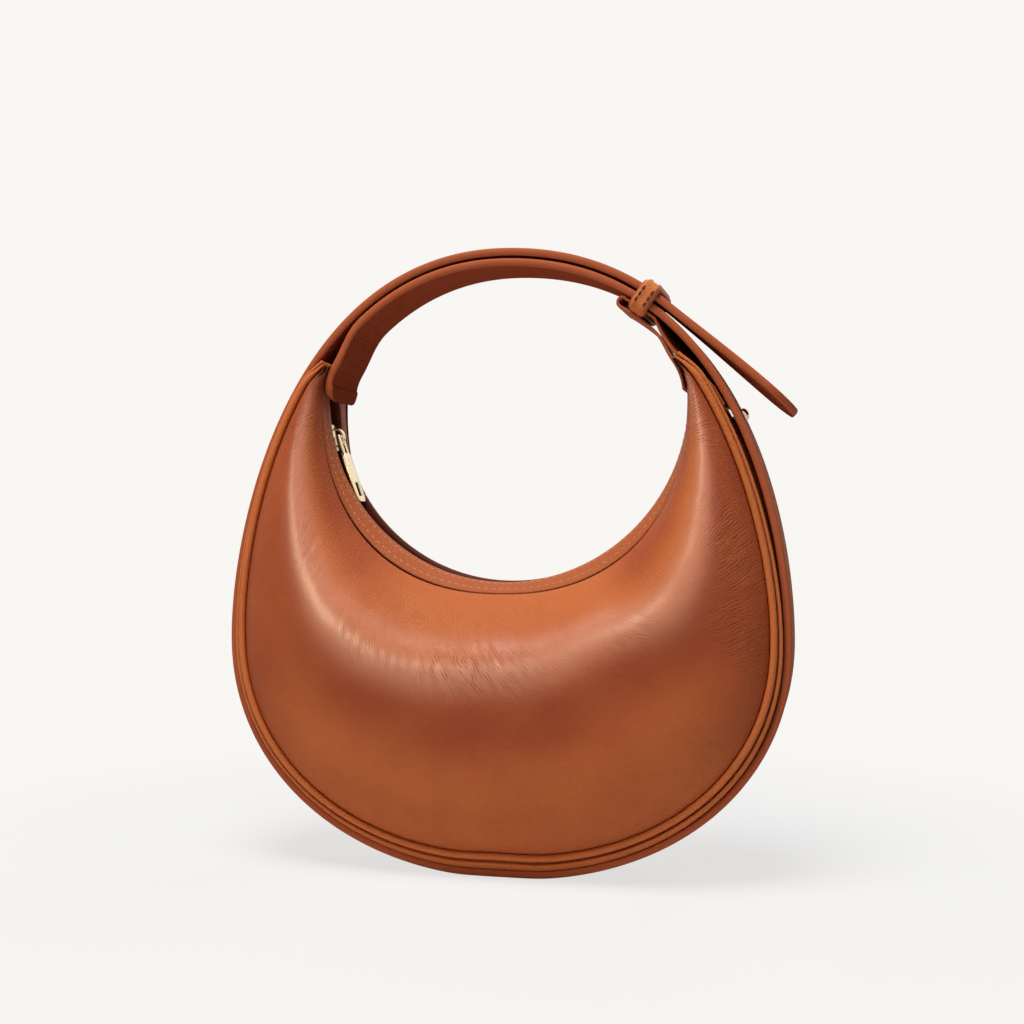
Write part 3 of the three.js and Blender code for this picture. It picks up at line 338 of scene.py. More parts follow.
class BagShape:
    """Lines and sections that the pieces share, in metres."""

    def __init__(self, scene):
        for group in (scene.bag_outline, scene.bag_belt, scene.bag_shell, scene.bag_mouth):
            for key in group.__annotations__:
                setattr(self, key, getattr(group, key))
        self.layer_step = self.belt_thick + self.layer_gap
        self.gusset_inset = self.belt_thick + self.gap
        self.gusset_half = self.belt_width / 2 + self.edge_margin
        self.piping_y = self.gusset_half + self.piping_radius / 2
        self.mouth_half_y = self.gusset_half - self.mouth_inset_y
        self.mouth_z = self.pouch_height + self.mouth_depth
        self.facing_radius = self.mouth_depth - self.facing_rise
        self.tape_radius = self.facing_radius + self.zip_sink + self.gap
        self.chain_radius = self.tape_radius + (self.tape_thick - self.chain_thick) / 2
        self.chain_outer_y = self.chain_slot + self.chain_width
        self.puff_span = self.mouth_z - self.seam_drop_base - self.mouth_depth
        self.set_mouth()
        self.set_zip()
        self.set_keeper()

    def set_mouth(self):
        """The mouth's half width, and the heights of the ellipses that run out at the horns' tips."""
        centre_u = solve(lambda u: self.body(u, 0).y, 1, 2, self.mouth_z)
        self.mouth_half_x = self.body(centre_u, 0).x - self.horn_width
        drop = self.seam_drop_horn + self.piping_radius + self.gap
        self.mouth_tops = []
        for side in (-1, 1):
            angle, seam = self.polar_of(self.body(side * self.horn_u, drop))
            edge = self.polar(angle, seam - self.horn_tip)
            self.mouth_tops.append((edge.y - self.mouth_z) / math.sqrt(1 - (edge.x / self.mouth_half_x) ** 2))

    def set_zip(self):
        self.left_tip_u = self.tip(-1)
        self.right_tip_u = self.tip(1)
        inset = self.mouth_inset(-self.belt_end_u) + self.belt_thick
        angle, radius = self.polar_of(self.left(self.belt_end_u, inset))
        self.facing_end = -angle - self.facing_clear / radius
        self.zip_left = -self.facing_end
        self.zip_right = self.facing_end - self.zip_right_back
        self.zip_slider = self.zip_left + self.slider_back

    def tip(self, side):
        """Place along the outline that is level with the corner at a horn's tip."""
        section = self.panel_section(side * self.horn_u)
        corner = self.polar(section.angle, section.corners[0].x)

        def past(u):
            spot = self.body(side * u, 0)
            return (spot - corner).dot(spot - self.body(side * (u - NUDGE), 0))

        return solve(past, 1, 2, 0)

    def set_keeper(self):
        self.keeper_spot = self.flare(self.keeper_u, 0)
        self.keeper_way = (self.flare(self.keeper_u - NUDGE, 0) - self.keeper_spot).normalized()
        self.keeper_up = (self.flare(self.keeper_u, -MM) - self.keeper_spot).normalized()
        self.keeper_exit = self.keeper_length / 2 + self.gap + self.belt_thick / 2
        self.pivot_u = self.past_keeper(self.keeper_exit + self.belt_thick / 2)
        self.tail_pivot = self.flare(self.pivot_u, self.belt_thick / 2 - self.layer_step)
        way = self.flare(self.pivot_u - NUDGE, 0) - self.flare(self.pivot_u, 0)
        self.tail_start = math.atan2(way.y, way.x)
        self.chape_top = self.belt_thick + self.gap
        self.loop_high = self.layer_step + self.gap
        self.loop_low = -(self.chape_top + self.chape_thick + self.gap)
        self.loop_half = self.belt_width / 2 + self.gap

    def past_keeper(self, distance):
        """Place on the right line at a distance past the keeper towards the base."""
        def back(u):
            return -(self.flare(u, 0) - self.keeper_spot).dot(self.keeper_way)

        return solve(back, 1, 2, -distance)

    def outline(self, u, pull, top):
        if u <= 1:
            angle = max(u, 0) * math.pi / 2
            power = 2 / self.base_power
            drop = (self.belly_z + self.base_sink) * max(math.cos(angle), 0) ** power
            return Vector((self.belly_half * math.sin(angle) ** power, self.belly_z - drop))
        t = u - 1
        s = 1 - t
        low = s ** 3
        flank = 3 * s * s * t
        crown = 3 * s * t * t
        x = (low + flank) * self.belly_half + crown * pull
        z = low * self.belly_z + flank * (self.belly_z + self.flank_pull) + (crown + t ** 3) * top
        return Vector((x, z))

    def line(self, u, inset, pull, top):
        ahead = self.outline(min(u + NUDGE, 2), pull, top)
        along = (ahead - self.outline(max(u - NUDGE, 0), pull, top)).normalized()
        spot = self.outline(u, pull, top)
        above = spot.y + along.x * inset - inset
        pressed = (above + math.hypot(above, self.base_ease)) / 2
        return Vector((spot.x - along.y * inset, inset + pressed))

    def body(self, station, inset):
        """A point of the bag's outline at a station, which is negative on the left."""
        if station < 0:
            return self.line(-station, inset, self.shoulder_pull, self.top_z) * Vector((-1, 1))
        return self.line(station, inset, self.crown_pull, self.top_z)

    def left(self, u, inset):
        return self.body(-u, inset)

    def flare(self, u, inset):
        return self.line(u, inset, self.flare_pull, self.top_z - self.layer_step)

    def stand_off(self, station):
        """How far the belt stands off the bag on the right."""
        if station <= 1:
            return 0.0
        spot = self.body(station, 0)
        out = (self.body(station, -MM) - spot).normalized()
        return max((self.flare(station, 0) - spot).dot(out), 0.0)

    def seam_drop(self, u):
        if u <= 1:
            return mix(self.seam_drop_base, self.seam_drop_belly, u)
        share = min((u - 1) / (self.horn_u - 1), 1)
        return mix(self.seam_drop_belly, self.seam_drop_horn, share) + self.tip_dip(u)

    def tip_dip(self, u):
        return self.tip_slope * clamp(1 - (self.horn_u - u) / self.tip_run) ** 1.5

    def gusset_drop(self, station, y):
        """Inset of the gusset's outer face, which swells in the middle and turns in at its edges."""
        flat = self.belt_width / 2 + self.gap
        edge = self.seam_drop(abs(station)) - self.piping_radius - self.gap - self.gusset_thick
        turned = clamp((abs(y) - flat) / (self.gusset_half - flat)) ** self.gusset_turn_power
        swell_end = 0.06
        swell_y, swell_wide = -3 * MM, 8 * MM
        crown = self.gap + self.stand_off(station) * ease((self.chape_outer_u - station) / swell_end)
        full = crown * math.exp(-((y - swell_y) / swell_wide) ** 2)
        return mix(self.gusset_inset + self.tip_dip(abs(station)), edge, turned) - full

    def polar(self, angle, radius):
        return Vector((radius * math.sin(angle), self.mouth_z - radius * math.cos(angle)))

    def polar_of(self, spot):
        down = self.mouth_z - spot.y
        return math.atan2(spot.x, down), math.hypot(spot.x, down)

    def mouth_radius(self, angle):
        above = abs(angle) > math.pi / 2
        power = 2 if above else self.mouth_power
        across = abs(math.sin(angle)) / self.mouth_half_x
        down = abs(math.cos(angle)) / (self.mouth_tops[angle > 0] if above else self.mouth_depth)
        return (across ** power + down ** power) ** (-1 / power)

    def mouth_inset(self, station):
        """Inset at which a strap lies over a horn's mouth edge."""
        def clearance(inset):
            angle, radius = self.polar_of(self.body(station, inset))
            return self.mouth_radius(angle) - radius

        return solve(clearance, 0, self.belly_half / 2, 2 * self.gap)

    def lay_inset(self, u):
        """Inset at which the handle's inner layer would lie on the left without any stiffness."""
        if u <= self.left_tip_u:
            return self.mouth_inset(-u)
        share = ease(1 - (u - self.left_tip_u) / self.belt_meets_u)
        return mix(self.layer_step, self.mouth_inset(-self.left_tip_u), share)

    def end_inset(self, u):
        """Inset of the handle's inner layer on the left, smoothed as stiff leather is."""
        near = [self.lay_inset(u + step) for step in spread(8, -0.012, 0.012)]
        return sum(near) / len(near)

    def panel_section(self, station):
        drop = self.seam_drop(abs(station)) + self.piping_radius + self.gap
        angle, seam = self.polar_of(self.body(station, drop))
        mouth = self.mouth_radius(angle)
        seam = max(seam, mouth + 0.5 * MM)
        span = seam - mouth
        puff = self.puff * (span / self.puff_span) ** self.puff_fade
        corners = (
            Vector((mouth, self.mouth_half_y)),
            Vector((mouth + self.ridge_at * span, self.mouth_half_y + puff)),
            Vector((mouth + self.belly_at * span, self.piping_y + puff)),
            Vector((seam, self.piping_y)),
        )
        return Section(station, angle, corners)

    def horn_share(self, station):
        return clamp(abs(station) / self.horn_u)

    def wander(self, station, share, side):
        """How far the leather lies outside the smooth swell."""
        seam_reach, horn_reach, fold_reach = 0.2, 0.3, 1.25
        to_horn = self.horn_u - abs(station)
        seam_fade = ease(min(share, 1 - share) / seam_reach)
        horn_fade = ease(to_horn / horn_reach)
        fold_fade = ease(to_horn / fold_reach)
        broad = noise.noise(Vector((station * 3.1, share * 2.6, side * 5.3)))
        close = noise.noise(Vector((station * 8.3, share * 6.1, side * 9.7)))
        folds = noise.noise(Vector(((station - 0.35 * share) * 30, share * 2.2, side * 3.9)))
        creased = crease_mask(station, share, side)
        loose = self.slack * (broad + 0.3 * close) + self.crumple * creased * folds
        return seam_fade * (horn_fade * loose + fold_fade * self.fold_height(station, share))

    def fold_height(self, station, share):
        """The soft fold along a panel: a ridge, and a long hollow under it."""
        past = share - self.fold_place(station)
        ridge_wide = mix(0.09, 0.2, self.horn_share(station) ** 2)
        hollow_past, hollow_wide = 0.3, 0.19
        ridge_rise = 0.2
        hollow = math.exp(-((past - hollow_past) / hollow_wide) ** 2)
        return self.fold * (ridge_rise * math.exp(-(past / ridge_wide) ** 2) - hollow)

    def fold_place(self, station):
        """Share across a panel at which the fold's ridge lies."""
        even = mix(self.fold_at, self.fold_at_horn, self.horn_share(station))
        lifted = sum(part * math.exp(-((station - at) / reach) ** 2) for at, reach, part in FOLD_LIFTS)
        return even - self.fold_lift * lifted

    def panel_point(self, section, share, depth, side, beyond=0.0):
        spot, way = bezier(section.corners, share)
        depth -= self.wander(section.station, share, side)
        place = self.polar(section.angle, spot.x + way.y * depth + way.x * beyond)
        return standing(place, side * (spot.y - way.x * depth + way.y * beyond))

    def facing_run(self, angle, share):
        """A place on a facing and the way along it: over the flat, round the lip and down to the zip."""
        over, folded = 0.6, 0.8
        bend = self.facing_round
        lip = Vector((self.facing_radius, self.facing_lip_y + bend))
        if share < over:
            start = Vector((self.mouth_radius(angle) + self.facing_tuck, self.mouth_half_y))
            flat = Vector((self.facing_radius, self.facing_flat_y))
            return bezier((start, mix(start, flat, 0.75), flat, lip), share / over)
        if share < folded:
            turned = (share - over) / (folded - over) * math.pi / 2
            centre = lip + Vector((bend, 0))
            out = Vector((-math.cos(turned), -math.sin(turned)))
            return centre + out * bend, Vector((math.sin(turned), -math.cos(turned)))
        deep = mix(bend, self.zip_sink, (share - folded) / (1 - folded))
        return Vector((self.facing_radius + deep, self.facing_lip_y)), Vector((1, 0))

    def tail_point(self, distance, offset):
        bend = self.tail_droop / self.tail_length
        angle = bend * distance
        middle = Vector((math.sin(angle), math.cos(angle) - 1)) / bend
        spot = middle + Vector((math.sin(angle), math.cos(angle))) * offset
        spot.rotate(Matrix.Rotation(self.tail_start, 2))
        return spot + self.tail_pivot


# Meshes

class Edge:
    """One place round a sheet's section: share across, depth, reach past the near (-) or far edge, rim."""

    def __init__(self, share, depth, beyond, rim):
        self.share = share
        self.depth = depth
        self.beyond = beyond
        self.rim = rim


def sheet_ring(thick, face, back, edge, reach=None, square=1.0):
    """Places round the section of a sheet with rounded edges."""
    half = thick / 2
    reach = half if reach is None else reach

    def rounded(share, way):
        places = []
        for k in range(1, edge):
            angle = math.pi * k / edge
            rise = math.copysign(abs(math.cos(angle)) ** square, math.cos(angle))
            places.append(Edge(share, half - way * half * rise, way * reach * math.sin(angle) ** square, 1.0))
        return places

    over = [Edge(s, 0.0, 0.0, 0.0) for s in spread(face, 0, 1)]
    under = [Edge(s, thick, 0.0, 0.0) for s in spread(back, 1, 0)]
    return over + rounded(1.0, 1) + under + rounded(0.0, -1)


def belt_ring(bag):
    return sheet_ring(bag.belt_thick, 18, 18, 8, BELT_ROUND, 0.8)


def on_rim(edge, row):
    return edge.rim


def loft(ring, rows, place, lay=None, marks=None, closed=False, lined=None):
    """Rings of points carried along rows; place(edge, row) gives a point, lay a UV and marks its values."""
    count = len(ring)
    bm = bmesh.new()
    uv = bm.loops.layers.uv.new("UVMap")
    bmesh.ops.create_grid(bm, x_segments=count, y_segments=rows, size=0.5, calc_uvs=True)
    if lined:
        for face in bm.faces:
            at = int((face.calc_center_median().x + 0.5) * count)
            if all(edge.depth >= lined and not edge.rim for edge in (ring[at], ring[(at + 1) % count])):
                face.material_index = 1
    layers = {key: bm.verts.layers.float.new(key) for key in (marks or {})}
    if lay:
        for face in bm.faces:
            for corner in face.loops:
                i = round(corner[uv].uv.x * count)
                j = round(corner[uv].uv.y * rows)
                corner[uv].uv = lay(i, j)
    for vert in bm.verts:
        edge = ring[round((vert.co.x + 0.5) * count) % count]
        row = round((vert.co.y + 0.5) * rows)
        vert.co = place(edge, row % rows if closed else row)
        for key, layer in layers.items():
            vert[layer] = marks[key](edge, row)
    bmesh.ops.remove_doubles(bm, verts=bm.verts, dist=1e-6)
    open_edges = [edge for edge in bm.edges if edge.is_boundary]
    if open_edges:
        bmesh.ops.holes_fill(bm, edges=open_edges, sides=0)
    return bm


def piece(bm, name, material, nodes, body=None, sharp=50, lined=None):
    """Turns a finished bmesh into a piece that stands for CAD nodes and rides on a body."""
    bmesh.ops.remove_doubles(bm, verts=bm.verts, dist=1e-6)
    bmesh.ops.recalc_face_normals(bm, faces=bm.faces)
    limit = math.radians(sharp)
    for face in bm.faces:
        face.smooth = True
    for edge in bm.edges:
        edge.smooth = edge.calc_face_angle(0.0) < limit
    mesh = bpy.data.meshes.new(name)
    bm.to_mesh(mesh)
    bm.free()
    mesh.materials.append(material)
    if lined:
        mesh.materials.append(lined)
    made = bpy.data.objects.new(name, mesh)
    bpy.context.scene.collection.objects.link(made)
    if nodes:
        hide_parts(*nodes)
    if body:
        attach(made, body)
    return made


def block(low, high, bevel, cuts=0, segments=2):
    """A bevelled block between two corners."""
    bm = bmesh.new()
    bmesh.ops.create_cube(bm, size=1.0)
    low, high = Vector(low), Vector(high)
    span = high - low
    bmesh.ops.scale(bm, vec=span, verts=bm.verts)
    bmesh.ops.translate(bm, vec=(low + high) / 2, verts=bm.verts)
    if cuts:
        long = [e for e in bm.edges if abs(e.verts[0].co.x - e.verts[1].co.x) > span.x / 2]
        bmesh.ops.subdivide_edges(bm, edges=long, cuts=cuts, use_grid_fill=True)
    corners = [edge for edge in bm.edges if edge.calc_face_angle(0.0) > math.radians(60)]
    bmesh.ops.bevel(
        bm, geom=corners, offset=bevel, segments=segments, profile=0.5, affect="EDGES", material=-1)
    return bm


def joined(lumps):
    """Several bmeshes as one; the lumps are used up."""
    whole = bmesh.new()
    for lump in lumps:
        mesh = bpy.data.meshes.new("lump")
        lump.to_mesh(mesh)
        lump.free()
        whole.from_mesh(mesh)
        bpy.data.meshes.remove(mesh)
    return whole


def curl(bm, bag, angle):
    """Bends a block drawn along X, with radii as heights, round the mouth's centre."""
    for vert in bm.verts:
        spot = bag.polar(angle + vert.co.x / bag.chain_radius, vert.co.z)
        vert.co = standing(spot, vert.co.y)
    return bm


def stitches(spots, long, wide, high):
    """Small rounded stitches, each at a centre with a way along and a way up."""
    bm = bmesh.new()
    for centre, way, up in spots:
        side = up.cross(way)
        basis = Matrix((way * long, side * wide, up * high)).transposed().to_4x4()
        basis.translation = centre
        bmesh.ops.create_uvsphere(bm, u_segments=6, v_segments=6, radius=0.5, matrix=basis)
    return bm


# Finishes

class Wire:
    """A node's output that takes part in sums."""

    def __init__(self, finish, socket):
        self.finish = finish
        self.socket = socket

    def maths(self, operation, *values):
        return self.finish.node("ShaderNodeMath", {"operation": operation}, dict(enumerate(values)))

    def __add__(self, other):
        return self.maths("ADD", self, other)

    def __radd__(self, other):
        return self.maths("ADD", other, self)

    def __sub__(self, other):
        return self.maths("SUBTRACT", self, other)

    def __rsub__(self, other):
        return self.maths("SUBTRACT", other, self)

    def __mul__(self, other):
        return self.maths("MULTIPLY", self, other)

    def __rmul__(self, other):
        return self.maths("MULTIPLY", other, self)

    def within(self, low, high):
        """0 at low, 1 at high, eased between."""
        settings = {"interpolation_type": "SMOOTHSTEP", "clamp": True}
        return self.finish.node("ShaderNodeMapRange", settings, {0: self, 1: low, 2: high})


class Finish:
    """A material or a world under construction."""

    def __init__(self, owner):
        self.owner = owner
        owner.use_nodes = True
        self.tree = owner.node_tree
        self.tree.nodes.clear()

    def node(self, kind, settings=None, sockets=None, out=0):
        made = self.tree.nodes.new(kind)
        for key, value in (settings or {}).items():
            setattr(made, key, value)
        for key, value in (sockets or {}).items():
            if isinstance(value, Wire):
                self.tree.links.new(value.socket, made.inputs[key])
            else:
                made.inputs[key].default_value = value
        return Wire(self, made.outputs[out]) if len(made.outputs) else None

    def place(self):
        return self.node("ShaderNodeTexCoord", out="Object")

    def flat_place(self, scale):
        """The piece's UV turned by its lean and divided by a size."""
        flat = self.node("ShaderNodeTexCoord", out="UV")
        sockets = {"Vector": flat, "Angle": self.mark("lean")}
        turned = self.node("ShaderNodeVectorRotate", {"rotation_type": "Z_AXIS"}, sockets)
        return self.node("ShaderNodeMapping", {"vector_type": "TEXTURE"}, {"Vector": turned, "Scale": scale})

    def mark(self, name):
        return self.node("ShaderNodeAttribute", {"attribute_name": name}, out="Fac")

    def speckle(self, vector, scale, detail=2.0, rough=0.5):
        sockets = {"Vector": vector, "Scale": scale, "Detail": detail, "Roughness": rough}
        return self.node("ShaderNodeTexNoise", None, sockets)

    def tint(self, factor, a, b):
        paints = [value if isinstance(value, Wire) else (*value, 1.0) for value in (a, b)]
        sockets = {0: factor, 6: paints[0], 7: paints[1]}
        return self.node("ShaderNodeMix", {"data_type": "RGBA"}, sockets, out=2)

    def bump(self, height, strength, distance):
        sockets = {"Strength": strength, "Distance": distance, "Height": height}
        return self.node("ShaderNodeBump", None, sockets)

    def close(self, sockets):
        shader = self.node("ShaderNodeBsdfPrincipled", None, sockets)
        self.node("ShaderNodeOutputMaterial", None, {"Surface": shader})
        return self.owner


def named(make):
    """Lets a finish be asked for by name, and makes it the first time."""
    def found(name, *values):
        return bpy.data.materials.get(name) or make(Finish(bpy.data.materials.new(name)), *values)

    return found


def darker(base, share):
    return tuple(share * c for c in base)


@named
def leather(made, face, deep, rim, pebble, rough, gloss):
    """Dyed leather: pebble grain, pores, clouds in the dye, and wrinkles, sheen and rims where marked; the
    shade mark, the crease lines and on some pieces the rim colour paint shade into the colour.
    """
    place = made.place()
    warp = made.speckle(place, 140, 2)
    bent = made.node(
        "ShaderNodeVectorMath", {"operation": "MULTIPLY_ADD"},
        {0: made.node("ShaderNodeCombineXYZ", None, {0: warp, 1: warp, 2: warp}), 1: (0.003,) * 3, 2: place})
    cells = made.node(
        "ShaderNodeTexVoronoi", {"feature": "DISTANCE_TO_EDGE"}, {"Vector": bent, "Scale": 850})
    valleys = cells.within(0.0, 0.22)
    pores = made.speckle(place, 3200, 2)
    clouds = made.speckle(place, 34, 4, 0.6)
    lines = made.node("ShaderNodeTexWave", {"bands_direction": "X"}, {
        "Vector": made.flat_place((1, 1, 1)), "Scale": 240, "Distortion": 9,
        "Detail": 1.5, "Detail Scale": 0.5})
    broken = made.speckle(made.flat_place((0.0025, 0.0075, 1)), 1, 1, 0.5)
    furrow = made.mark("crease") * lines.within(0.45, 1.0) * broken.within(0.4, 0.58)
    height = pebble * valleys + 0.1 * pores - 0.8 * furrow
    rimmed = made.mark("rim")
    # Painted shade where the shade mark lies, mixed with random clouds in the dye
    dyed_and_shaded = made.tint(0.25 * clouds.within(0.3, 0.72) + 0.75 * made.mark("shade"), face, deep)
    worn = made.tint(0.5 * pebble * (1 - valleys), dyed_and_shaded, deep)
    # Painted shade in the crease lines
    creases = made.tint(0.3 * furrow, worn, darker(deep, 0.25))
    return made.close({
        # On the panels and facings the rim colour is painted shade in the seams and the slot
        "Base Color": made.tint(rimmed, creases, rim),
        "Roughness": rough + 0.1 * clouds + 0.15 * (1 - valleys) + 0.15 * furrow,
        "Specular IOR Level": gloss,
        "Coat Weight": made.mark("sheen") * (1 - 0.7 * furrow),
        "Coat Roughness": 0.36,
        "Coat IOR": 1.95,
        "Normal": made.bump(height * (1 - 0.8 * rimmed), 0.8, 0.0006),
    })


def panel_leather(paint):
    return leather("panel_hide", paint.panel_face, paint.panel_deep, paint.panel_rim, 0.2, 0.36, 0.1)


def welt_leather(paint):
    return leather("welt_hide", paint.welt_face, paint.panel_face, paint.belt_rim, 0.2, 0.4, 0.12)


def facing_leather(paint):
    return leather("facing_hide", paint.facing_face, paint.panel_deep, paint.facing_under, 0.2, 0.4, 0.12)


def belt_leather(paint):
    return leather("belt_hide", paint.belt_face, paint.belt_deep, paint.belt_rim, 0.2, 0.5, 0.05)


def belt_flesh(paint):
    under = paint.belt_under
    return leather("belt_flesh", under, darker(under, 0.8), paint.belt_rim, 0.3, 0.75, 0.0)


@named
def woven(made, base, threads, rough):
    """Plain woven cloth: two crossing sets of threads."""
    flat = made.node("ShaderNodeTexCoord", out="UV")
    warp = made.node("ShaderNodeTexWave", {"bands_direction": "X"}, {"Vector": flat, "Scale": threads})
    weft = made.node("ShaderNodeTexWave", {"bands_direction": "Y"}, {"Vector": flat, "Scale": threads})
    slubs = made.speckle(flat, 260, 3)
    height = warp * weft + 0.3 * slubs
    return made.close({
        "Base Color": made.tint((warp * weft + 0.5 * slubs).within(0.1, 0.9), darker(base, 0.55), base),
        "Roughness": rough - 0.1 * slubs,
        "Normal": made.bump(height, 0.6, 0.0002),
    })


@named
def smooth_nylon(made, base):
    sheen = made.speckle(made.place(), 1500, 2)
    return made.close({
        "Base Color": made.tint(sheen.within(0.3, 0.7), darker(base, 0.6), base),
        "Roughness": 0.4 + 0.2 * sheen,
    })


@named
def pressed_board(made, base):
    fibres = made.speckle(made.place(), 900, 5, 0.7)
    return made.close({
        "Base Color": made.tint(fibres.within(0.3, 0.7), darker(base, 0.6), base),
        "Roughness": 0.8 + 0.15 * fibres,
        "Normal": made.bump(fibres, 0.4, 0.0002),
    })


@named
def plate(made, base):
    """Polished plate with faint brushing and fingermarks."""
    place = made.place()
    smears = made.speckle(place, 120, 4, 0.6)
    brushed = made.node("ShaderNodeMapping", None, {"Vector": place, "Scale": (400, 4200, 400)})
    hairs = made.speckle(brushed, 1, 2)
    return made.close({
        "Base Color": made.tint(smears.within(0.35, 0.75), base, darker(base, 0.86)),
        "Metallic": 1.0,
        "Roughness": 0.16 + 0.14 * smears + 0.05 * hairs,
        "Normal": made.bump(hairs, 0.08, 0.00005),
    })


@named
def thread(made, base):
    """Twisted sewing thread."""
    twist = made.node(
        "ShaderNodeTexWave", {"bands_direction": "DIAGONAL"},
        {"Vector": made.place(), "Scale": 900, "Distortion": 1.0})
    return made.close({
        "Base Color": made.tint(twist, darker(base, 0.6), base),
        "Roughness": 0.6 + 0.15 * twist,
        "Normal": made.bump(twist, 0.5, 0.0001),
    })


# Operators

class BAG_OT_stage(bpy.types.Operator):
    """Pale floor, soft lights, white surround and the camera"""
    bl_idname = "bag.stage"
    bl_label = "Stage"
    ambient = 0.04
    floor_glow = 0.74

    def execute(self, context):
        scene = context.scene
        paint = scene.bag_finish
        scene.view_settings.view_transform = "Standard"
        self.surround(scene, paint)
        self.floor(scene, paint)
        key = self.lamp(scene, "key_light", (-0.05, -0.36, 1.2), (0, 0, 0.1), 0.6, 14)
        self.lamp(scene, "front_light", (-0.5, -0.9, 0.34), (0, 0, 0.12), 0.35, 2.2, (1, 0.8, 0.58))
        self.lamp(scene, "back_light", (0.4, 0.8, 1.0), (0, 0, 0.12), 0.8, 2.5)
        self.camera(scene)
        if key.data.energy <= 0:
            raise RuntimeError("the key light gives no light")
        return {"FINISHED"}

    def surround(self, scene, paint):
        scene.world = bpy.data.worlds.new("surround")
        made = Finish(scene.world)
        seen = made.node("ShaderNodeBackground", None, {"Color": (*paint.backdrop, 1), "Strength": 1.0})
        around = {"Color": (1.0, 0.985, 0.965, 1), "Strength": self.ambient}
        lit = made.node("ShaderNodeBackground", None, around)
        direct = made.node("ShaderNodeLightPath", out="Is Camera Ray")
        for name in ("Is Glossy Ray", "Is Transmission Ray"):
            direct = direct.maths("MAXIMUM", direct, made.node("ShaderNodeLightPath", out=name))
        shown = made.node("ShaderNodeMixShader", None, {0: direct, 1: lit, 2: seen})
        made.node("ShaderNodeOutputWorld", None, {"Surface": shown})

    def floor(self, scene, paint):
        made = Finish(bpy.data.materials.new("floor_paper"))
        place = made.place()
        away = made.node("ShaderNodeVectorMath", {"operation": "LENGTH"}, {0: place}, out="Value")
        grain = made.speckle(place, 500, 3)
        paper = made.node("ShaderNodeBsdfDiffuse", None, {
            "Color": made.tint(0.04 * grain, paint.floor, (0.7, 0.7, 0.7))})
        seen = made.node("ShaderNodeLightPath", out="Is Camera Ray")
        glow = made.node("ShaderNodeEmission", None, {"Color": (0.965, 0.96, 0.955, 1), "Strength": 1.0})
        pale = made.node("ShaderNodeMixShader", None, {0: self.floor_glow * seen, 1: paper, 2: glow})
        clear = made.node("ShaderNodeBsdfTransparent")
        faded = away.within(0.15, 0.36) * seen
        shown = made.node("ShaderNodeMixShader", None, {0: faded, 1: pale, 2: clear})
        made.node("ShaderNodeOutputMaterial", None, {"Surface": shown})
        bm = bmesh.new()
        bmesh.ops.create_grid(bm, x_segments=8, y_segments=8, size=1.5)
        mesh = bpy.data.meshes.new("floor")
        bm.to_mesh(mesh)
        bm.free()
        mesh.materials.append(made.owner)
        floor = bpy.data.objects.new("floor", mesh)
        scene.collection.objects.link(floor)

    def lamp(self, scene, name, spot, aim, width, watts, tint=(1, 1, 1)):
        data = bpy.data.lights.new(name, "AREA")
        data.shape = "DISK"
        data.size = width
        data.energy = watts
        data.color = tint
        lamp = bpy.data.objects.new(name, data)
        lamp.location = spot
        way = Vector(aim) - Vector(spot)
        lamp.rotation_euler = way.to_track_quat("-Z", "Y").to_euler()
        scene.collection.objects.link(lamp)
        return lamp

    def camera(self, scene):
        data = bpy.data.cameras.new("camera")
        data.lens = 50
        data.sensor_width = 36
        camera = bpy.data.objects.new("camera", data)
        turned = math.radians(13.1)
        away = 0.59
        aim_x, height = 0.0017, 0.1477
        camera.location = (aim_x + away * math.sin(turned), -away * math.cos(turned), height)
        camera.rotation_euler = (math.pi / 2, 0, turned)
        scene.collection.objects.link(camera)
        scene.camera = camera


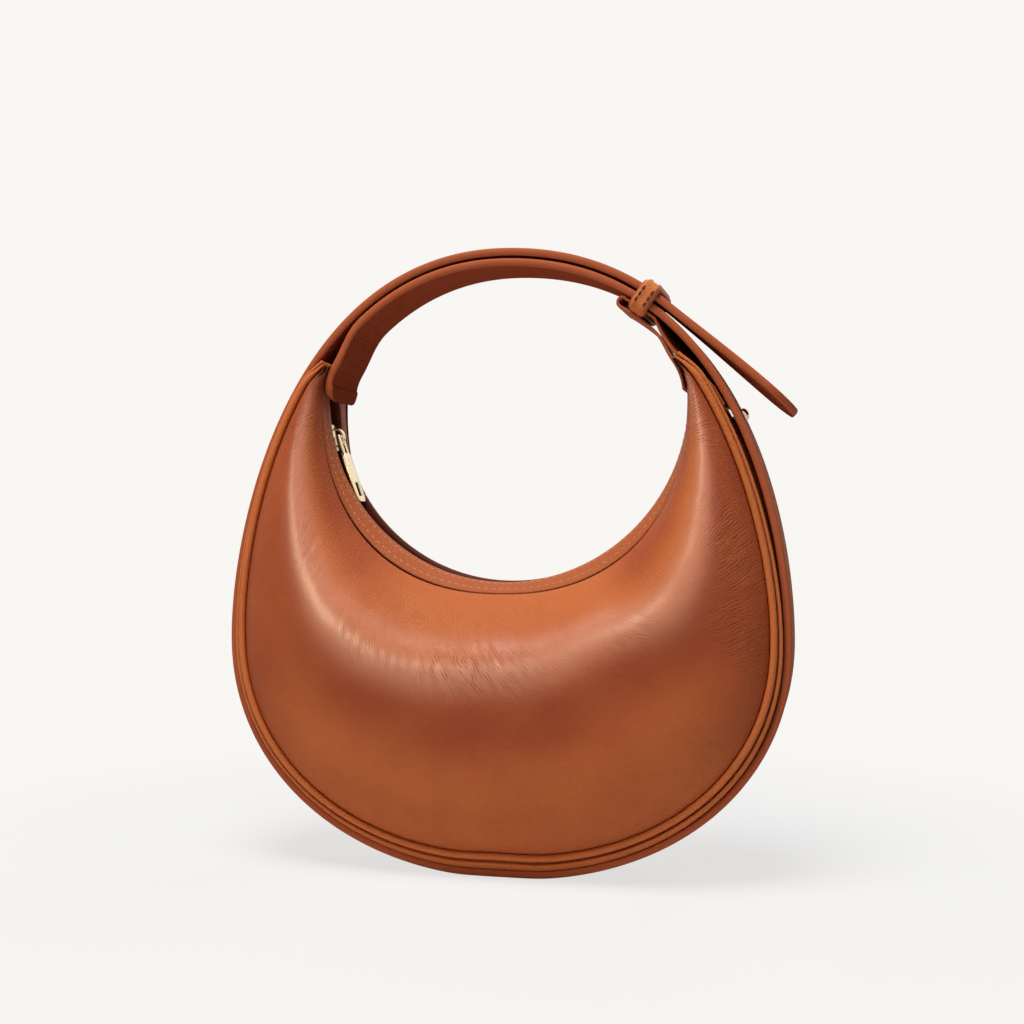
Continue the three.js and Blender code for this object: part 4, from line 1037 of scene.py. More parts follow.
class BAG_OT_panels(bpy.types.Operator):
    """Front and back panels: puffed leather with rolled edges, slack and creases"""
    bl_idname = "bag.panels"
    bl_label = "Panels"
    rows = 340
    face = 104
    back = 36
    # Ways of the creases in the middle, on the flanks and on the horns, and the stations where they change
    leans = (0.64, 1.2, 0.3)
    flank_start = 0.8
    horn_start = 1.34
    change = 0.02
    sheen_past = 0.03
    sheen_wide = 0.08
    sheen_wide_horn = 0.17
    # How much the painted shade fades towards the seam at the belly
    belly_pale = 0.75

    def execute(self, context):
        bag = BagShape(context.scene)
        material = panel_leather(context.scene.bag_finish)
        ring = sheet_ring(bag.panel_thick, self.face, self.back, 6)
        sections = [bag.panel_section(s) for s in spread(self.rows, -bag.horn_u, bag.horn_u)]
        half = bag.panel_thick / 2
        for word, side in SIDES:
            middle = [bag.panel_point(s, 0.5, 0, side) for s in sections]
            along = run_lengths(middle)

            def share_of(edge, section):
                margin = min(half / section.length, 0.4)
                return mix(margin, 1.0, edge.share)

            def place(edge, row):
                section = sections[row]
                return bag.panel_point(section, share_of(edge, section), edge.depth, side, edge.beyond)

            def lay(i, row):
                edge = ring[i % len(ring)]
                return along[row], edge.share * sections[row].length

            def crease(edge, row):
                station = sections[row].station
                steady = 1 - edge.rim
                for start in (self.flank_start, self.horn_start):
                    steady *= ease((abs(abs(station) - start) - self.change) / (2 * self.change))
                return crease_mask(station, edge.share, side) * steady

            # Painted shade: the rolled edges and the back of a panel take the near-black seam shade
            def rim(edge, row):
                return max(edge.rim, min(edge.depth / half, 1))

            def sheen(edge, row):
                station = sections[row].station
                wide = mix(self.sheen_wide, self.sheen_wide_horn, bag.horn_share(station) ** 2)
                past = edge.share - bag.fold_place(station) - self.sheen_past
                return math.exp(-(past / wide) ** 2)

            # Painted shade: darker under the fold and by the mouth on the flanks, fading towards the seam at
            # the belly
            def shade(edge, row):
                station = sections[row].station
                flank = ease((abs(station) - 0.5) / 0.4)
                belly = (1 - flank) * ease((edge.share - 0.6) / 0.22)
                fold = ease((edge.share - bag.fold_place(station) - 0.04) / 0.14)
                by_mouth = flank * ease((0.3 - edge.share) / 0.2)
                return fold * (1 - self.belly_pale * belly) + by_mouth

            def lean(edge, row):
                turned = self.leans[0]
                for start, lean in ((self.flank_start, self.leans[1]), (self.horn_start, self.leans[2])):
                    past = abs(sections[row].station) - start + self.change
                    turned = mix(turned, lean, ease(past / (2 * self.change)))
                return turned

            marks = {"crease": crease, "rim": rim, "sheen": sheen, "shade": shade, "lean": lean}
            bm = loft(ring, self.rows, place, lay, marks)
            piece(bm, f"{word}_leather_panel", material, [f"{word}_panel"], "bag")
        return {"FINISHED"}


class BAG_OT_piping(bpy.types.Operator):
    """Welts in the two outer seams"""
    bl_idname = "bag.piping"
    bl_label = "Piping"
    rows = 300
    sides = 14
    flange_thick = 0.8 * MM
    flange_reach = 3 * MM

    def execute(self, context):
        bag = BagShape(context.scene)
        material = welt_leather(context.scene.bag_finish)
        stations = spread(self.rows, -bag.horn_u, bag.horn_u)
        ring = [Edge(k / self.sides, 0, 0, 0) for k in range(self.sides)]
        for word, side in SIDES:
            def place(edge, row):
                angle = edge.share * 2 * math.pi
                station = stations[row]
                radius = bag.piping_radius * mix(0.3, 1, ease((bag.horn_u - abs(station)) / bag.tip_run))
                drop = bag.seam_drop(abs(station))
                spot = bag.body(station, drop + radius * math.cos(angle))
                return standing(spot, side * bag.piping_y + radius * math.sin(angle))

            bm = joined([loft(ring, self.rows, place), self.flange(bag, side)])
            piece(bm, f"{word}_welt", material, [f"{word}_piping"], "bag")
        return {"FINISHED"}

    def flange(self, bag, side):
        """Seam allowance of a welt, from the back of the panel to the back of the gusset."""
        ring = sheet_ring(self.flange_thick, 6, 6, 4)
        end = bag.horn_u - 2 * bag.tip_run
        stations = spread(self.rows, -end, end)
        behind = Vector((bag.piping_radius + self.flange_reach, bag.piping_y - bag.panel_thick - bag.gap))
        inner_y = bag.belt_width / 2

        def place(edge, row):
            station = stations[row]
            start = behind + Vector((bag.seam_drop(abs(station)), 0))
            stop = Vector((bag.gusset_drop(station, inner_y) + bag.gusset_thick + bag.gap, inner_y))
            way = (stop - start).normalized()
            spot = mix(start, stop, edge.share) + way * edge.beyond - way.orthogonal() * edge.depth
            return standing(bag.body(station, spot.x), side * spot.y)

        return loft(ring, self.rows, place)


class BAG_OT_gusset(bpy.types.Operator):
    """Gusset under the belt, with edges turned to meet the piping"""
    bl_idname = "bag.gusset"
    bl_label = "Gusset"
    rows = 300
    face = 44

    def execute(self, context):
        bag = BagShape(context.scene)
        material = welt_leather(context.scene.bag_finish)
        ring = sheet_ring(bag.gusset_thick, self.face, self.face, 6)
        stations = spread(self.rows, -bag.tongue_u, bag.tongue_u)
        half = bag.gusset_half - bag.gusset_thick / 2

        def place(edge, row):
            station = stations[row]
            across = 2 * edge.share - 1
            if edge.rim == 0:
                across = math.sin(math.pi * across / 2)
            y = half * across
            drop = bag.gusset_drop(station, y) + edge.depth
            return standing(bag.body(station, drop), y + edge.beyond)

        bm = loft(ring, self.rows, place)
        piece(bm, "leather_gusset", material, ["gusset"], "bag")
        return {"FINISHED"}


class BAG_OT_inside(bpy.types.Operator):
    """Linings, slip pocket, and the board and lining inside the gusset"""
    bl_idname = "bag.inside"
    bl_label = "Inside"
    rows = 90

    def execute(self, context):
        bag = BagShape(context.scene)
        paint = context.scene.bag_finish
        cotton = woven("lining_cotton", paint.lining, 420, 0.9)
        depth = bag.panel_thick + bag.gap
        for word, side in SIDES:
            bm = self.sheet(bag, bag.lining_angle, (0.125, 0.875), depth, side)
            piece(bm, f"{word}_cotton_lining", cotton, [f"{word}_lining"], "bag")
        depth += bag.lining_thick + bag.gap
        bm = self.sheet(bag, bag.pocket_angle, (0.375, 0.75), depth, 1)
        piece(bm, "cotton_slip_pocket", cotton, ["slip_pocket"], "bag")
        board_inset = bag.gusset_inset + bag.gusset_thick + bag.gap
        bm = self.band(bag, bag.stiffener_u, board_inset, bag.stiffener_thick)
        board = pressed_board("fibre_board", paint.board)
        piece(bm, "gusset_board", board, ["gusset_stiffener"], "bag")
        lining_inset = board_inset + bag.stiffener_thick + bag.gap
        bm = self.band(bag, bag.gusset_lining_u, lining_inset, bag.lining_thick)
        piece(bm, "gusset_cotton_lining", cotton, ["gusset_lining"], "bag")
        return {"FINISHED"}

    def sheet(self, bag, reach, shares, depth, side):
        end = solve(lambda s: bag.panel_section(s).angle, 0, bag.horn_u, reach)
        sections = [bag.panel_section(s) for s in spread(self.rows, -end, end)]
        ring = sheet_ring(bag.lining_thick, 30, 30, 4)

        def place(edge, row):
            share = mix(shares[0], shares[1], edge.share)
            return bag.panel_point(sections[row], share, depth + edge.depth, side, edge.beyond)

        def lay(i, row):
            section = sections[row]
            return section.station * STATION_RUN, ring[i % len(ring)].share * section.length

        return loft(ring, self.rows, place, lay)

    def band(self, bag, reach, inset, thick):
        stations = spread(2 * self.rows, -reach, reach)
        ring = sheet_ring(thick, 12, 12, 4)
        half = bag.belt_width / 2 - bag.gusset_thick - thick / 2

        def place(edge, row):
            y = half * (2 * edge.share - 1) + edge.beyond
            return standing(bag.body(stations[row], inset + edge.depth), y)

        def lay(i, row):
            return stations[row] * STATION_RUN, ring[i % len(ring)].share * 2 * half

        return loft(ring, 2 * self.rows, place, lay)


class BAG_OT_facings(bpy.types.Operator):
    """Facings round the mouth, with their rows of stitches"""
    bl_idname = "bag.facings"
    bl_label = "Facings"
    rows = 200
    stitch_pitch = 3.1 * MM
    stitch_shares = (0.14, 0.38)
    stitch_size = (1.9 * MM, 0.6 * MM, 0.3 * MM)
    stitch_run = 0.97
    under_belt = 0.1
    # Share across at which the painted shade on the facings' turned side starts, sooner on the back facing
    inside_from = {"front": 0.68, "back": 0.58}
    inside_blend = 0.08

    def execute(self, context):
        bag = BagShape(context.scene)
        paint = context.scene.bag_finish
        material = facing_leather(paint)
        ring = sheet_ring(bag.facing_thick, 40, 40, 6)
        reach = bag.facing_end + self.under_belt
        angles = spread(self.rows, -reach, reach)
        for word, side in SIDES:
            def point(angle, share, depth, beyond=0.0):
                spot, way = bag.facing_run(angle, share)
                tucked = ease((abs(angle) - bag.facing_end) / 0.05)
                spot.x = mix(spot.x, max(spot.x, bag.mouth_radius(angle) + 0.5 * MM), tucked)
                place = bag.polar(angle, spot.x - way.y * depth + way.x * beyond)
                return standing(place, side * (spot.y + way.x * depth + way.y * beyond))

            def place(edge, row):
                return point(angles[row], mix(0.05, 0.96, edge.share), edge.depth, edge.beyond)

            # Painted shade on the turned side and the back of the facings, in the slot
            def turned(edge, row):
                past = edge.share - self.inside_from[word]
                return max(ease(past / self.inside_blend), edge.depth / bag.facing_thick)

            bm = loft(ring, self.rows, place, None, {"rim": turned})
            piece(bm, f"{word}_leather_facing", material, [f"{word}_facing"], "bag")
            spots = []
            run = 2 * bag.facing_end * bag.facing_radius
            count = int(run / self.stitch_pitch)
            end = bag.facing_end * self.stitch_run
            for share in self.stitch_shares:
                for angle in spread(count, -end, end):
                    centre = point(angle, share, 0)
                    way = (point(angle + 1e-3, share, 0) - centre).normalized()
                    across = point(angle, share + 1e-2, 0) - centre
                    up = way.cross(across).normalized()
                    inward = Vector((0, 0, bag.mouth_z)) - centre
                    spots.append((centre, way, up if up.dot(inward) > 0 else -up))
            bm = stitches(spots, *self.stitch_size)
            piece(bm, f"{word}_facing_stitches", thread("pale_thread", paint.thread_pale),
                  [], "bag")
        return {"FINISHED"}


class BAG_OT_zip(bpy.types.Operator):
    """Zip tapes, nylon coils, stops and end tab"""
    bl_idname = "bag.zip"
    bl_label = "Zip"
    rows = 150

    def execute(self, context):
        bag = BagShape(context.scene)
        paint = context.scene.bag_finish
        gold = plate("gold_plate", paint.gold)
        nylon = smooth_nylon("coil_nylon", paint.coil)
        cloth = woven("zip_weave", paint.tape, 700, 0.85)
        ends = (bag.zip_left, bag.zip_right)
        for word, side in SIDES:
            inner = bag.chain_outer_y - 0.2 * MM
            bm = self.strip(bag, ends, side * inner, side * bag.tape_outer_y)
            piece(bm, f"{word}_zip_tape", cloth, [f"zip_tape_{word}"], "bag")
            bm = self.teeth(bag, side)
            piece(bm, f"{word}_zip_coil", nylon, [f"zip_chain_{word}"], "bag")
        outer = bag.chain_outer_y
        low = bag.chain_radius
        high = low + bag.chain_thick
        for name, node, start in (
            ("zip_first_stop", "zip_top_stop", bag.zip_left),
            ("zip_last_stop", "zip_bottom_stop", bag.zip_right - bag.stop_turn),
        ):
            long = bag.stop_turn * bag.chain_radius
            bm = curl(block((0, -outer, low), (long, outer, high), 0.5 * MM), bag, start)
            piece(bm, name, gold, [node], "bag")
        start = bag.zip_right + bag.gap / bag.tape_radius
        bm = self.strip(bag, (start, bag.zip_right + bag.tab_turn), -bag.tape_outer_y, bag.tape_outer_y)
        piece(bm, "zip_leather_tab", belt_leather(paint), ["zip_end_tab"], "bag")
        return {"FINISHED"}

    def strip(self, bag, ends, low, high):
        """A thin band on the zip's circle."""
        angles = spread(self.rows, *ends)
        ring = sheet_ring(bag.tape_thick, 14, 14, 4)
        half = bag.tape_thick / 2
        way = math.copysign(1, high - low)

        def place(edge, row):
            y = mix(low + way * half, high - way * half, edge.share)
            return standing(bag.polar(angles[row], bag.tape_radius + edge.depth), y + way * edge.beyond)

        def lay(i, row):
            return angles[row] * bag.tape_radius, mix(low, high, ring[i % len(ring)].share)

        return loft(ring, self.rows, place, lay)

    def teeth(self, bag, side):
        margin = bag.stop_turn + bag.tooth_pitch / bag.chain_radius
        start = bag.zip_left + margin
        end = bag.zip_right - margin
        count = int((end - start) * bag.chain_radius / bag.tooth_pitch)
        long = bag.tooth_pitch * 0.3
        shift = bag.tooth_pitch / 2 / bag.chain_radius if side > 0 else 0.0
        low, high = sorted((side * bag.chain_slot, side * bag.chain_outer_y))
        ends = (-long, low, bag.chain_radius), (long, high, bag.chain_radius + bag.chain_thick)
        return joined([
            curl(block(*ends, 0.3 * MM, segments=1), bag, angle + shift)
            for angle in spread(count, start, end)])


class BAG_OT_slider(bpy.types.Operator):
    """Zip slider, its bail, and the puller with its fork and window"""
    bl_idname = "bag.slider"
    bl_label = "Slider"

    def execute(self, context):
        bag = BagShape(context.scene)
        gold = plate("gold_plate", context.scene.bag_finish.gold)
        gap = bag.gap
        half = bag.slider_length / 2
        wide = bag.slider_width / 2
        top_inner = bag.chain_radius - gap
        top_outer = top_inner - bag.slider_wall
        base_inner = bag.chain_radius + bag.chain_thick + gap
        base_outer = base_inner + bag.slider_wall
        slim = 0.5 * wide
        post = bag.slider_post / 2
        post_end = bag.slider_post_length - half
        bite = 0.4 * MM
        wing = 0.55 * MM
        soft = 0.3 * MM
        lumps = [
            block((-half, -slim, top_outer), (half, slim, top_inner), wing, 6, 3),
            block((-half, -wide, base_inner), (half, wide, base_outer), wing, 6, 3),
            block((-half, -post, top_inner - bite), (post_end, post, base_inner + bite), 0.2 * MM),
        ]
        lip = bag.chain_outer_y + gap
        under = bag.tape_radius + bag.tape_thick + gap
        for side in (-1, 1):
            low, high = sorted((side * lip, side * wide))
            lumps.append(block((-half, low, under), (half, high, base_inner + bite), soft, 6))
        bm = joined([curl(lump, bag, bag.zip_slider) for lump in lumps])
        piece(bm, "zip_slider_body", gold, ["zip_slider"], "slider")
        self.bail(bag, gold, top_outer)
        self.puller(bag, gold, top_outer)
        return {"FINISHED"}

    def frame(self, bag, radius, lift):
        """Axes at a radius on the slider's spoke: along the zip, across, and towards the mouth's centre."""
        turned = bag.zip_slider + lift
        along = Vector((math.cos(turned), 0, math.sin(turned)))
        up = Vector((-math.sin(turned), 0, math.cos(turned)))
        basis = Matrix((along, Vector((0, 1, 0)), up)).transposed().to_4x4()
        basis.translation = standing(bag.polar(bag.zip_slider, radius), 0)
        return basis

    def bail(self, bag, gold, top_outer):
        bm = bmesh.new()
        ring = bag.bail_radius - bag.bail_wire / 2
        made = bmesh.ops.create_circle(bm, cap_ends=False, segments=12, radius=0.5)
        bmesh.ops.scale(bm, vec=(bag.bail_wire, bag.bail_width, 1), verts=made["verts"])
        bmesh.ops.translate(bm, vec=(ring, 0, 0), verts=made["verts"])
        bmesh.ops.spin(
            bm, geom=bm.verts[:] + bm.edges[:], cent=(0, 0, 0), axis=(0, -1, 0), angle=math.pi, steps=24)
        rim = [edge for edge in bm.edges if edge.is_boundary]
        feet = bmesh.ops.extrude_edge_only(bm, edges=rim)["geom"]
        foot_verts = [item for item in feet if isinstance(item, bmesh.types.BMVert)]
        bmesh.ops.translate(bm, vec=(0, 0, -0.7 * MM), verts=foot_verts)
        bmesh.ops.holes_fill(bm, edges=[edge for edge in bm.edges if edge.is_boundary], sides=0)
        bmesh.ops.transform(bm, matrix=self.frame(bag, top_outer - bag.gap, 0), verts=bm.verts)
        piece(bm, "zip_bail_ring", gold, ["zip_bail"], "slider")

    def puller(self, bag, gold, top_outer):
        rise = bag.bail_radius - bag.bail_wire - bag.puller_pin - bag.gap
        pivot = top_outer - bag.gap - rise
        tip = bag.facing_radius + bag.puller_sink
        lift = math.asin((pivot ** 2 + bag.puller_length ** 2 - tip ** 2) / (2 * pivot * bag.puller_length))
        half = bag.puller_width / 2
        thick = bag.puller_thick / 2
        bm = bmesh.new()
        bmesh.ops.create_grid(bm, x_segments=3, y_segments=3, size=0.5)
        window_end = bag.puller_length - bag.window_end
        columns = (bag.puller_fork, window_end - bag.window_length, window_end, bag.puller_length)
        rows = (-half, -bag.window_width / 2, bag.window_width / 2, half)
        for vert in bm.verts:
            i = round((vert.co.x + 0.5) * 3)
            j = round((vert.co.y + 0.5) * 3)
            vert.co = (columns[i], rows[j], -thick)
        pane = [face for face in bm.faces if all(abs(v.co.y) < half * 0.9 for v in face.verts)]
        pane = [face for face in pane if columns[1] < face.calc_center_median().x < columns[2]]
        bmesh.ops.delete(bm, geom=pane, context="FACES_ONLY")
        corners = [v for v in bm.verts if len(v.link_edges) == 2]
        tips = [v for v in corners if v.co.x > columns[2]]
        heels = [v for v in corners if v.co.x < columns[1]]
        for verts, radius in ((tips, 0.6 * half), (heels, 0.45 * half)):
            bmesh.ops.bevel(
                bm, geom=verts, offset=radius, segments=6, profile=0.5, affect="VERTICES", material=-1)
        raised = bmesh.ops.extrude_face_region(bm, geom=bm.faces[:])["geom"]
        up = [item for item in raised if isinstance(item, bmesh.types.BMVert)]
        bmesh.ops.translate(bm, vec=(0, 0, 2 * thick), verts=up)
        bmesh.ops.recalc_face_normals(bm, faces=bm.faces)
        rims = [edge for edge in bm.edges if edge.calc_face_angle(0.0) > math.radians(60)]
        rims = [edge for edge in rims if abs(edge.verts[0].co.z - edge.verts[1].co.z) < thick]
        bmesh.ops.bevel(
            bm, geom=rims, offset=0.3 * MM, segments=2, profile=0.5, affect="EDGES", material=-1)
        inner = bag.bail_width / 2 + 2 * bag.gap
        pin = Matrix.Rotation(math.pi / 2, 4, "X")
        bmesh.ops.create_cone(
            bm, cap_ends=True, segments=14, radius1=bag.puller_pin, radius2=bag.puller_pin,
            depth=2 * inner + bag.puller_prong, matrix=pin)
        lumps = [bm]
        for side in (-1, 1):
            low, high = sorted((side * inner, side * (inner + bag.puller_prong)))
            ends = (-bag.puller_pin, low, -thick), (bag.puller_fork + MM, high, thick)
            lumps.append(block(*ends, 0.35 * MM))
        bm = joined(lumps)
        bmesh.ops.transform(bm, matrix=self.frame(bag, pivot, lift), verts=bm.verts)
        piece(bm, "zip_puller_bar", gold, ["zip_puller"], "puller", sharp=35)


class BAG_OT_belt(bpy.types.Operator):
    """The long belt from its sewn inner end, over the handle, round the bag and over the handle again"""
    bl_idname = "bag.belt"
    bl_label = "Belt"
    blend_low = 0.195
    blend_high = 0.226
    near_end = 0.06

    def execute(self, context):
        bag = BagShape(context.scene)
        material = belt_leather(context.scene.bag_finish)
        near = bag.belt_end_u + self.near_end
        places = spread(24, bag.belt_end_u, near)[:-1] + spread(60, near, 2)
        ends = [(bag.left, u, bag.end_inset(u)) for u in places]
        down = [(bag.flare, u, 0.0) for u in spread(170, 2, 0)[1:]]
        up = [(bag.left, u, 0.0) for u in spread(170, 0, 2)[1:]]
        over = [(bag.flare, u, -bag.layer_step) for u in spread(34, 2, bag.keeper_u)[1:]]
        rows = ends + down + up + over
        along = run_lengths([line(u, inset) for line, u, inset in rows])
        ring = belt_ring(bag)
        half = bag.belt_width / 2 - BELT_ROUND

        def place(edge, row):
            line, u, inset = rows[row]
            hem = ease((bag.hem_length + 0.6 * MM - along[row]) / (0.6 * MM))
            depth = edge.depth * (1 + hem * bag.hem_rise / bag.belt_thick)
            short = max(1 - along[row] / bag.end_round, 0)
            wide = half - bag.end_round * (1 - math.sqrt(1 - short * short))
            return standing(line(u, inset + depth), wide * (2 * edge.share - 1) + edge.beyond)

        def lay(i, row):
            return along[row], ring[i % len(ring)].share * bag.belt_width

        bm = loft(ring, len(rows) - 1, place, lay, {"rim": on_rim}, lined=bag.belt_thick)
        nodes = [
            "perimeter_belt", "belt_flex_left", "belt_flex_right", "belt_inner_end",
            "handle_inner_layer", "handle_outer_layer"]
        flesh = belt_flesh(context.scene.bag_finish)
        belt = piece(bm, "leather_belt", material, nodes, lined=flesh)
        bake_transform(belt)
        return {"FINISHED"}


class BAG_OT_tail(bpy.types.Operator):
    """Free tail of the belt, from inside the keeper to its rounded tip"""
    bl_idname = "bag.tail"
    bl_label = "Tail"

    def execute(self, context):
        bag = BagShape(context.scene)
        material = belt_leather(context.scene.bag_finish)
        radius = bag.tail_tip_share * bag.belt_width / 2
        straight = bag.tail_length - radius
        inside = spread(8, bag.keeper_u, bag.pivot_u)[:-1]
        free = spread(44, 0, straight) + [
            straight + radius * math.sin(a) for a in spread(18, 0, math.pi / 2)[1:]]
        rows = [("inside", u) for u in inside] + [("free", d) for d in free]
        ring = belt_ring(bag)
        centre = bag.belt_thick / 2

        def place(edge, row):
            kind, where = rows[row]
            half = bag.belt_width / 2
            if kind == "free":
                past = max(where - straight, 0) / radius
                half += radius * (math.sqrt(max(1 - past * past, 0)) - 1)
                thin = math.sqrt(max(1 - max(past - 0.97, 0) ** 2 / 0.03 ** 2, 0.02))
                rolled = bag.tail_roll * ease(where / straight)
            inner = max(half - BELT_ROUND, 0)
            y = inner * (2 * edge.share - 1) + edge.beyond
            if kind == "inside":
                return standing(bag.flare(where, edge.depth - bag.layer_step), y)
            rise = (centre - edge.depth) * thin
            flat = bag.tail_point(where, rise * math.cos(rolled) - y * math.sin(rolled))
            return standing(flat, y * math.cos(rolled) + rise * math.sin(rolled))

        bm = loft(ring, len(rows) - 1, place, None, {"rim": on_rim}, lined=bag.belt_thick)
        flesh = belt_flesh(context.scene.bag_finish)
        tail = piece(bm, "leather_tail", material, ["belt_tail"], lined=flesh)
        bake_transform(tail)
        return {"FINISHED"}


class BAG_OT_keeper(bpy.types.Operator):
    """Keeper loop with its stitches, and the chape that folds through it"""
    bl_idname = "bag.keeper"
    bl_label = "Keeper"
    corner = 2.4 * MM
    bulge = 1.0 * MM
    sewn = 2.0 * MM
    stitch_size = (2.4 * MM, 1.1 * MM, 0.5 * MM)

    def execute(self, context):
        bag = BagShape(context.scene)
        paint = context.scene.bag_finish
        material = belt_leather(paint)
        self.loop(bag, welt_leather(paint))
        self.sewing(bag, thread("dark_thread", paint.thread_dark))
        self.chape(bag, material)
        return {"FINISHED"}

    def local(self, bag, y, up, way):
        return standing(bag.keeper_spot + bag.keeper_up * up + bag.keeper_way * way, y)

    def round_path(self, bag):
        """Corner centres and outward ways round the loop's hole."""
        half = bag.loop_half - self.corner
        middle = (bag.loop_high + bag.loop_low) / 2
        tall = (bag.loop_high - bag.loop_low) / 2 - self.corner
        signs = ((1, 1), (-1, 1), (-1, -1), (1, -1))
        corners = [Vector((y * half, middle + z * tall)) for y, z in signs]
        path = []
        for k, (here, there) in enumerate(zip(corners, corners[1:] + corners[:1])):
            start = k * math.pi / 2
            ways = [Vector((math.cos(a), math.sin(a))) for a in spread(8, start, start + math.pi / 2)]
            path += [(here, way) for way in ways]
            path += [(mix(here, there, f), ways[-1]) for f in spread(8, 0, 1)[1:-1]]
        return path

    def rise(self, across):
        """Height of the keeper's face between its rolled edges."""
        return self.bulge * (1 - across ** 6) * (0.55 + 0.45 * across * across)

    def loop(self, bag, material):
        ring = sheet_ring(bag.keeper_thick, 24, 8, 8)
        path = self.round_path(bag)
        half = (bag.keeper_length - bag.keeper_thick) / 2

        def place(edge, row):
            centre, way = path[row]
            across = 2 * edge.share - 1
            swell = self.rise(across) * (1 - edge.depth / bag.keeper_thick)
            spot = centre + way * (self.corner + bag.keeper_thick - edge.depth + swell)
            return self.local(bag, spot.x, spot.y, half * across + edge.beyond)

        bm = loft(ring, len(path), place, None, {"rim": on_rim}, closed=True)
        piece(bm, "leather_keeper", material, ["keeper_loop"], "handle")

    def sewing(self, bag, material):
        spots = []
        lift = self.rise(2 * self.sewn / bag.keeper_length) + 0.05 * MM
        top = bag.loop_high + bag.keeper_thick + lift
        up = standing(bag.keeper_up, 0)
        front = bag.loop_half + bag.keeper_thick + lift
        for along in (-self.sewn, self.sewn):
            for y in spread(9, -bag.loop_half + 3 * MM, bag.loop_half - 3 * MM):
                spots.append((self.local(bag, y, top, along), Vector((0, 1, 0)), up))
            for side in (-1, 1):
                for rise in spread(2, bag.loop_low + 2.5 * MM, bag.loop_high - 2 * MM):
                    spots.append((self.local(bag, side * front, rise, along), up, Vector((0, side, 0))))
        bm = stitches(spots, *self.stitch_size)
        piece(bm, "keeper_stitches", material, [], "handle")

    def chape(self, bag, material):
        thick = bag.chape_thick
        top = bag.chape_top
        low = -bag.loop_low + bag.keeper_thick + 2 * bag.gap
        fold_u = bag.past_keeper(-bag.chape_reach)
        foot = bag.past_keeper(bag.keeper_length)

        def done(u, end):
            return clamp((foot - u) / (foot - end))

        def bow(u):
            return bag.chape_bow * max(math.sin(math.pi * done(u, bag.chape_bow_u) ** 0.8), 0.0) ** 1.3

        def outer(u, depth):
            return bag.flare(u, top + bow(u) + depth)

        def inner(u, depth):
            near = bag.flare(u, low + depth)
            on_horn = bag.body(u, bag.mouth_inset(min(u, bag.right_tip_u)) + depth)
            return mix(near, on_horn, ease(done(u, bag.right_tip_u)))

        half = bag.chape_width / 2 - 0.8 * MM
        rows = []
        for u in spread(50, bag.chape_outer_u, fold_u):
            rows.append((outer(u, 0), outer(u, thick), math.asin((bow(u) + bag.gap) / half)))
        middle = (top + low + thick) / 2
        centre = bag.flare(fold_u, middle)
        out = bag.flare(fold_u, middle - MM) - centre
        start = math.atan2(out.y, out.x)
        big = (low + thick - top) / 2
        for angle in spread(16, start, start + math.pi)[1:-1]:
            way = Vector((math.cos(angle), math.sin(angle)))
            rows.append((centre + way * big, centre + way * (big - thick), 0.0))
        for u in spread(50, fold_u, bag.chape_inner_u):
            rolled = bag.chape_roll * math.sin(math.pi * done(u, bag.right_tip_u))
            rows.append((inner(u, thick), inner(u, 0), rolled))
        ring = sheet_ring(thick, 14, 14, 6, 0.8 * MM)

        def place(edge, row):
            face, back, rolled = rows[row]
            y = half * (2 * edge.share - 1) + edge.beyond
            out = (face - back).normalized() * (y * math.sin(rolled))
            return standing(mix(face, back, edge.depth / thick) + out, y * math.cos(rolled))

        bm = loft(ring, len(rows) - 1, place, None, {"rim": on_rim})
        chape = piece(bm, "leather_chape", material, ["keeper_chape"])
        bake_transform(chape)


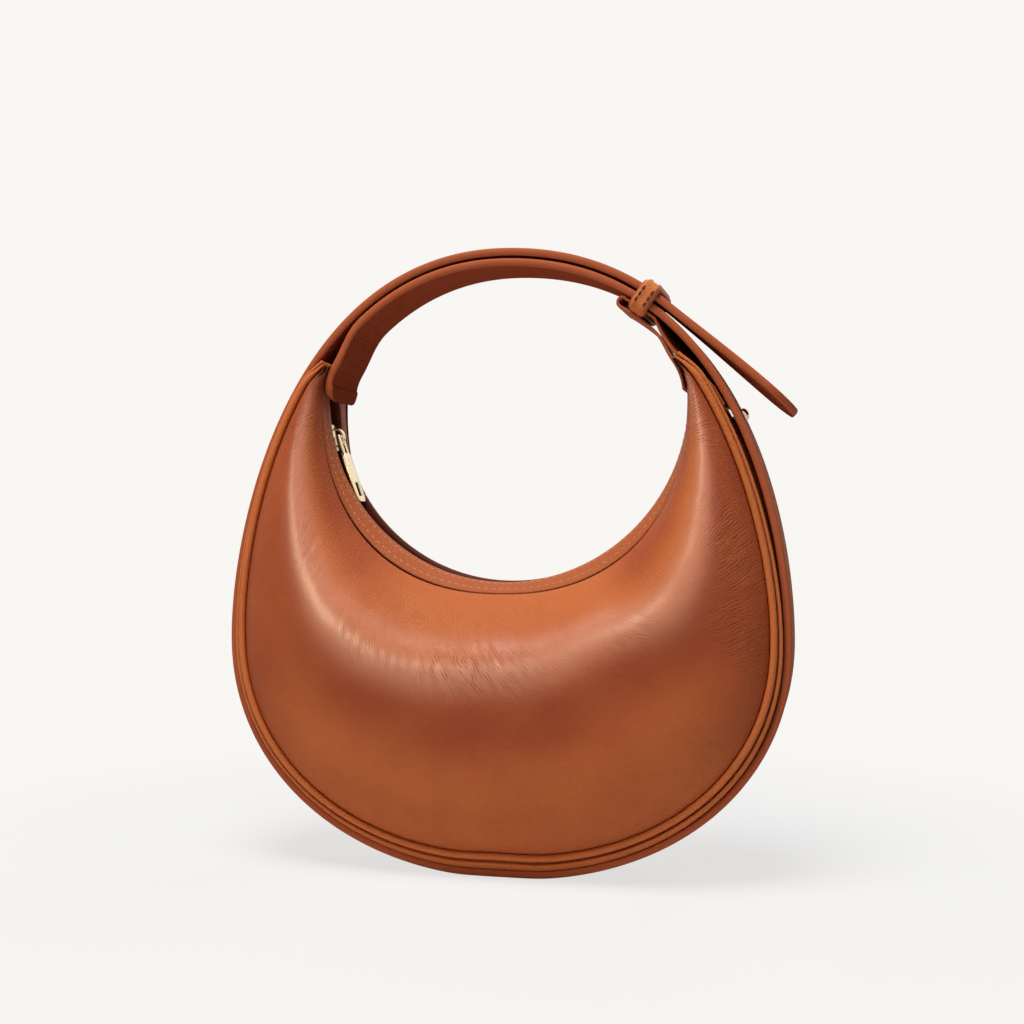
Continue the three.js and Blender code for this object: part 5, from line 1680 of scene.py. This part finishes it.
class BAG_OT_stud(bpy.types.Operator):
    """Domed stud through the belt, and its washer inside"""
    bl_idname = "bag.stud"
    bl_label = "Stud"

    def execute(self, context):
        bag = BagShape(context.scene)
        gold = plate("gold_plate", context.scene.bag_finish.gold)
        spot = bag.flare(bag.stud_u, 0)
        way = (bag.flare(bag.stud_u, MM) - spot).normalized()
        deep = self.depth(bag, spot, way, bag.gusset_inset + bag.gusset_thick) + bag.gap
        end = deep + bag.washer_thick + bag.gap
        base = bag.gap * 0.4
        dome = [(bag.stud_radius * math.cos(a), base + 0.5 * MM + bag.stud_dome * math.sin(a))
                for a in spread(8, 0, math.pi / 2)]
        head = [(0, -end), (bag.stud_post, -end), (bag.stud_post, base), (bag.stud_radius * 0.94, base),
                (bag.stud_radius, base + 0.15 * MM), *dome[:-1], (0, dome[-1][1])]
        hole = bag.stud_post + bag.gap
        low = -deep - bag.washer_thick
        ring = [(hole, low), (bag.washer_radius - 0.2 * MM, low), (bag.washer_radius, low + 0.2 * MM),
                (bag.washer_radius, -deep - 0.2 * MM), (bag.washer_radius - 0.2 * MM, -deep), (hole, -deep),
                (hole, low)]
        for name, profile, node in (
            ("gold_stud", head, "belt_stud"),
            ("stud_back_washer", ring, "stud_washer"),
        ):
            bm = bmesh.new()
            verts = [bm.verts.new((r, 0, h)) for r, h in profile]
            for a, b in zip(verts, verts[1:]):
                bm.edges.new((a, b))
            bmesh.ops.spin(
                bm, geom=bm.verts[:] + bm.edges[:], cent=(0, 0, 0), axis=(0, 0, 1),
                angle=2 * math.pi, steps=28, use_merge=True)
            out = standing(-way, 0)
            basis = out.to_track_quat("Z", "Y").to_matrix().to_4x4()
            basis.translation = standing(spot, 0)
            bmesh.ops.transform(bm, matrix=basis, verts=bm.verts)
            piece(bm, name, gold, [node], "bag", sharp=40)
        return {"FINISHED"}

    def depth(self, bag, spot, way, inset):
        """Distance from the belt's face to a layer of the bag along the stud."""
        def side(u):
            away = bag.body(u, inset) - spot
            return away.y * way.x - away.x * way.y

        u = solve(side, bag.stud_u - 0.2, bag.stud_u + 0.2, 0)
        return (bag.body(u, inset) - spot).dot(way)


GROUPS = (
    ("bag_outline", OutlineSizes),
    ("bag_belt", BeltSizes),
    ("bag_shell", ShellSizes),
    ("bag_mouth", MouthSizes),
    ("bag_finish", FinishColours),
)
OPERATORS = (
    BAG_OT_stage,
    BAG_OT_panels,
    BAG_OT_piping,
    BAG_OT_gusset,
    BAG_OT_inside,
    BAG_OT_facings,
    BAG_OT_zip,
    BAG_OT_slider,
    BAG_OT_belt,
    BAG_OT_tail,
    BAG_OT_keeper,
    BAG_OT_stud,
)


class BAG_PT_handbag(bpy.types.Panel):
    """Sizes, colours and pieces of the handbag"""
    bl_idname = "BAG_PT_handbag"
    bl_label = "Handbag"
    bl_space_type = "VIEW_3D"
    bl_region_type = "UI"
    bl_category = "Handbag"

    def draw(self, context):
        for operator in OPERATORS:
            self.layout.operator(operator.bl_idname)
        for key, group in GROUPS:
            box = self.layout.box()
            for name in group.__annotations__:
                box.prop(getattr(context.scene, key), name)


CLASSES = (*(group for _, group in GROUPS), *OPERATORS, BAG_PT_handbag)


def register():
    for made in CLASSES:
        bpy.utils.register_class(made)
    for key, group in GROUPS:
        setattr(bpy.types.Scene, key, PointerProperty(type=group))


def unregister():
    for key, _ in GROUPS:
        delattr(bpy.types.Scene, key)
    for made in reversed(CLASSES):
        bpy.utils.unregister_class(made)


def main():
    register()
    for operator in OPERATORS:
        group, name = operator.bl_idname.split(".")
        getattr(getattr(bpy.ops, group), name)()


if __name__ == "__main__":
    main()
